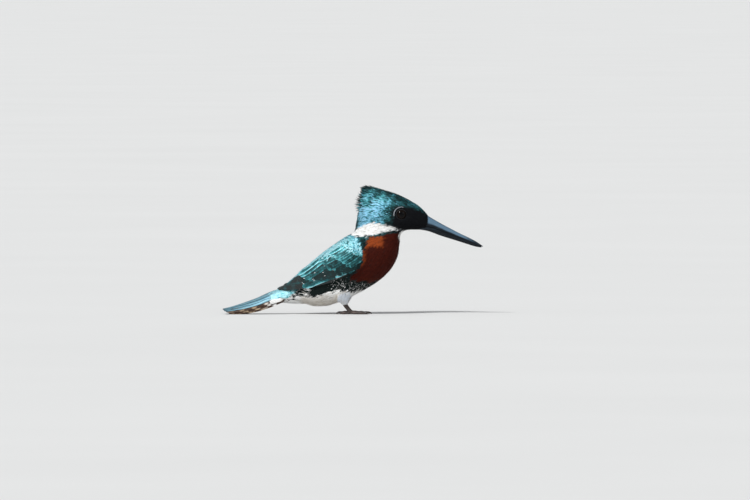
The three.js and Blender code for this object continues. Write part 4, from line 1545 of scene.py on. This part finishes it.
def claw_finish():
    finish = Finish("claw horn", Roughness=0.28, Specular_IOR_Level=0.5)
    grain = finish.noise(finish.stretched((300, 900, 900)), 1.0, 3.0)
    return finish.surface(Base_Color=finish.mix(grain, CLAW_BLACK, CLAW_BROWN))


def limb(path, radii, steps, scutes, pads):
    """A scaly rod, and how near each of its points is to a seam between scutes."""

    def swell(t):
        return 1 + 0.05 * np.abs(np.sin(t * math.pi * scutes)) + 0.10 * np.cos(t * 2 * math.pi * pads)

    seams = 1 - np.abs(np.sin(np.repeat(np.linspace(0, 1, steps), LIMB_SIDES) * math.pi * scutes))
    return tube(path, radii, steps, LIMB_SIDES, swell), np.concatenate([[0], seams, [0]])


def shank():
    ankle_x, ankle_z = ANKLE
    base_x, base_z = FOOT_BASE
    path = [(ankle_x - 0.7, 0, ankle_z + 1.8), (ankle_x, 0, ankle_z), (-3.4, 0, 4.1), (base_x, 0, base_z)]
    radii = [SHANK_RADIUS * share for share in (1.05, 1, 0.92, 1)]
    return limb(path, radii, 60, 9, 0.0)


def toe(turn, length, thick):
    """One toe and its claw."""
    base_x, base_z = FOOT_BASE
    radius = TOE_RADIUS * thick
    c, s = math.cos(math.radians(turn)), math.sin(math.radians(turn))

    def path(*places):
        return [(base_x + reach * c, reach * s, z) for reach, z in places]

    bones = path(
        (-0.6, base_z), (length * 0.33, radius * 1.02),
        (length * 0.66, radius * 0.92), (length, radius * 0.85),
    )
    claw = path(
        (length - 0.8, radius), (length + 0.9, radius * 1.15),
        (length + CLAW_LONG * 0.7, radius * 0.85), (length + CLAW_LONG, 0.32),
    )
    radii = [radius * share for share in (1.1, 0.98, 0.9, 0.7)]
    return limb(bones, radii, 72, length * 1.1, length / 4), tube(claw, CLAW_RADII, 26, 12)


def make_feet():
    skin, horn = foot_finish(), claw_finish()
    toes = [toe(*row) for row in TOES]
    limbs = [shank()] + [made for made, _ in toes]
    shapes, seams = [shape for shape, _ in limbs], [seam for _, seam in limbs]
    claws = [claw for _, claw in toes]
    for side, way in SIDES.items():
        for name, parts, finish, carries in (
            ("toes", shapes, skin, {"plates": np.concatenate(seams)}), ("claws", claws, horn, None)
        ):
            points, faces = joined(parts)
            points[:, 2] = np.maximum(points[:, 2], FLOOR_CLEARANCE)
            points = points + [0, FOOT_ASIDE, 0]
            if way < 0:
                points, faces = mirrored(points, faces)
            made = piece(f"{name}_{side}", points, faces, finish, carries)
            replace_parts(made, f"foot_{side}")


make_wings()
make_tail()
tail_coverts("uppertail_coverts", 420, on_tail)
tail_coverts("undertail_coverts", 160, under_tail)
make_bill()
make_eyes()
make_painted_eye_highlights()
make_feet()


# ---------------------------------------------------------------------------------------------
# Studio
# ---------------------------------------------------------------------------------------------

SKY = (0.93, 0.96, 1.0, 1.0)
SKY_STRENGTH = 0.38
# Name, the way the light shines, power and softness in degrees.
LAMPS = [("key", (0.42, 0.62, -0.82), 3.0, 10), ("fill", (-0.6, 0.5, -0.4), 0.3, 40)]
FLOOR_GREY = (0.70, 0.70, 0.69)
FLOOR_PALE = (0.74, 0.74, 0.73)
FLOOR_REACH = 60.0  # in metres, as the camera's numbers are
VIEW_CENTRE = Vector((0.0162, 0, 0.0461))
VIEW_DISTANCE = 9.0
VIEW_RAISED = math.radians(1.5)


def look(made, toward):
    made.rotation_mode = "QUATERNION"
    made.rotation_quaternion = Vector(toward).to_track_quat("-Z", "Y")


def make_light():
    bpy.context.scene.view_settings.view_transform = "Standard"
    world = bpy.data.worlds.new("studio")
    bpy.context.scene.world = world
    world.use_nodes = True
    sky = world.node_tree.nodes["Background"]
    sky.inputs["Color"].default_value = SKY
    sky.inputs["Strength"].default_value = SKY_STRENGTH
    for name, toward, power, softness in LAMPS:
        lamp = bpy.data.lights.new(name, "SUN")
        lamp.energy = power
        lamp.angle = math.radians(softness)
        look(placed(name, lamp), toward)


def make_floor():
    finish = Finish("floor", Roughness=0.9, Specular_IOR_Level=0.1)
    finish.surface(Base_Color=finish.mix(finish.noise(finish.place(), 3.0), FLOOR_GREY, FLOOR_PALE))
    mesh = bpy.data.meshes.new("floor")
    corners = [(x * FLOOR_REACH, y * FLOOR_REACH, 0) for x, y in ((-1, -1), (1, -1), (1, 1), (-1, 1))]
    mesh.from_pydata(corners, [], [(0, 1, 2, 3)])
    mesh.materials.append(finish.material)
    placed("floor", mesh)


def make_camera():
    camera = bpy.data.cameras.new("camera")
    camera.lens = 600
    camera.sensor_width = 36
    camera.clip_end = 200
    eye = placed("camera", camera)
    eye.location = VIEW_CENTRE + Vector((0, -math.cos(VIEW_RAISED), math.sin(VIEW_RAISED))) * VIEW_DISTANCE
    look(eye, VIEW_CENTRE - eye.location)
    bpy.context.scene.camera = eye


make_light()
make_floor()
make_camera()
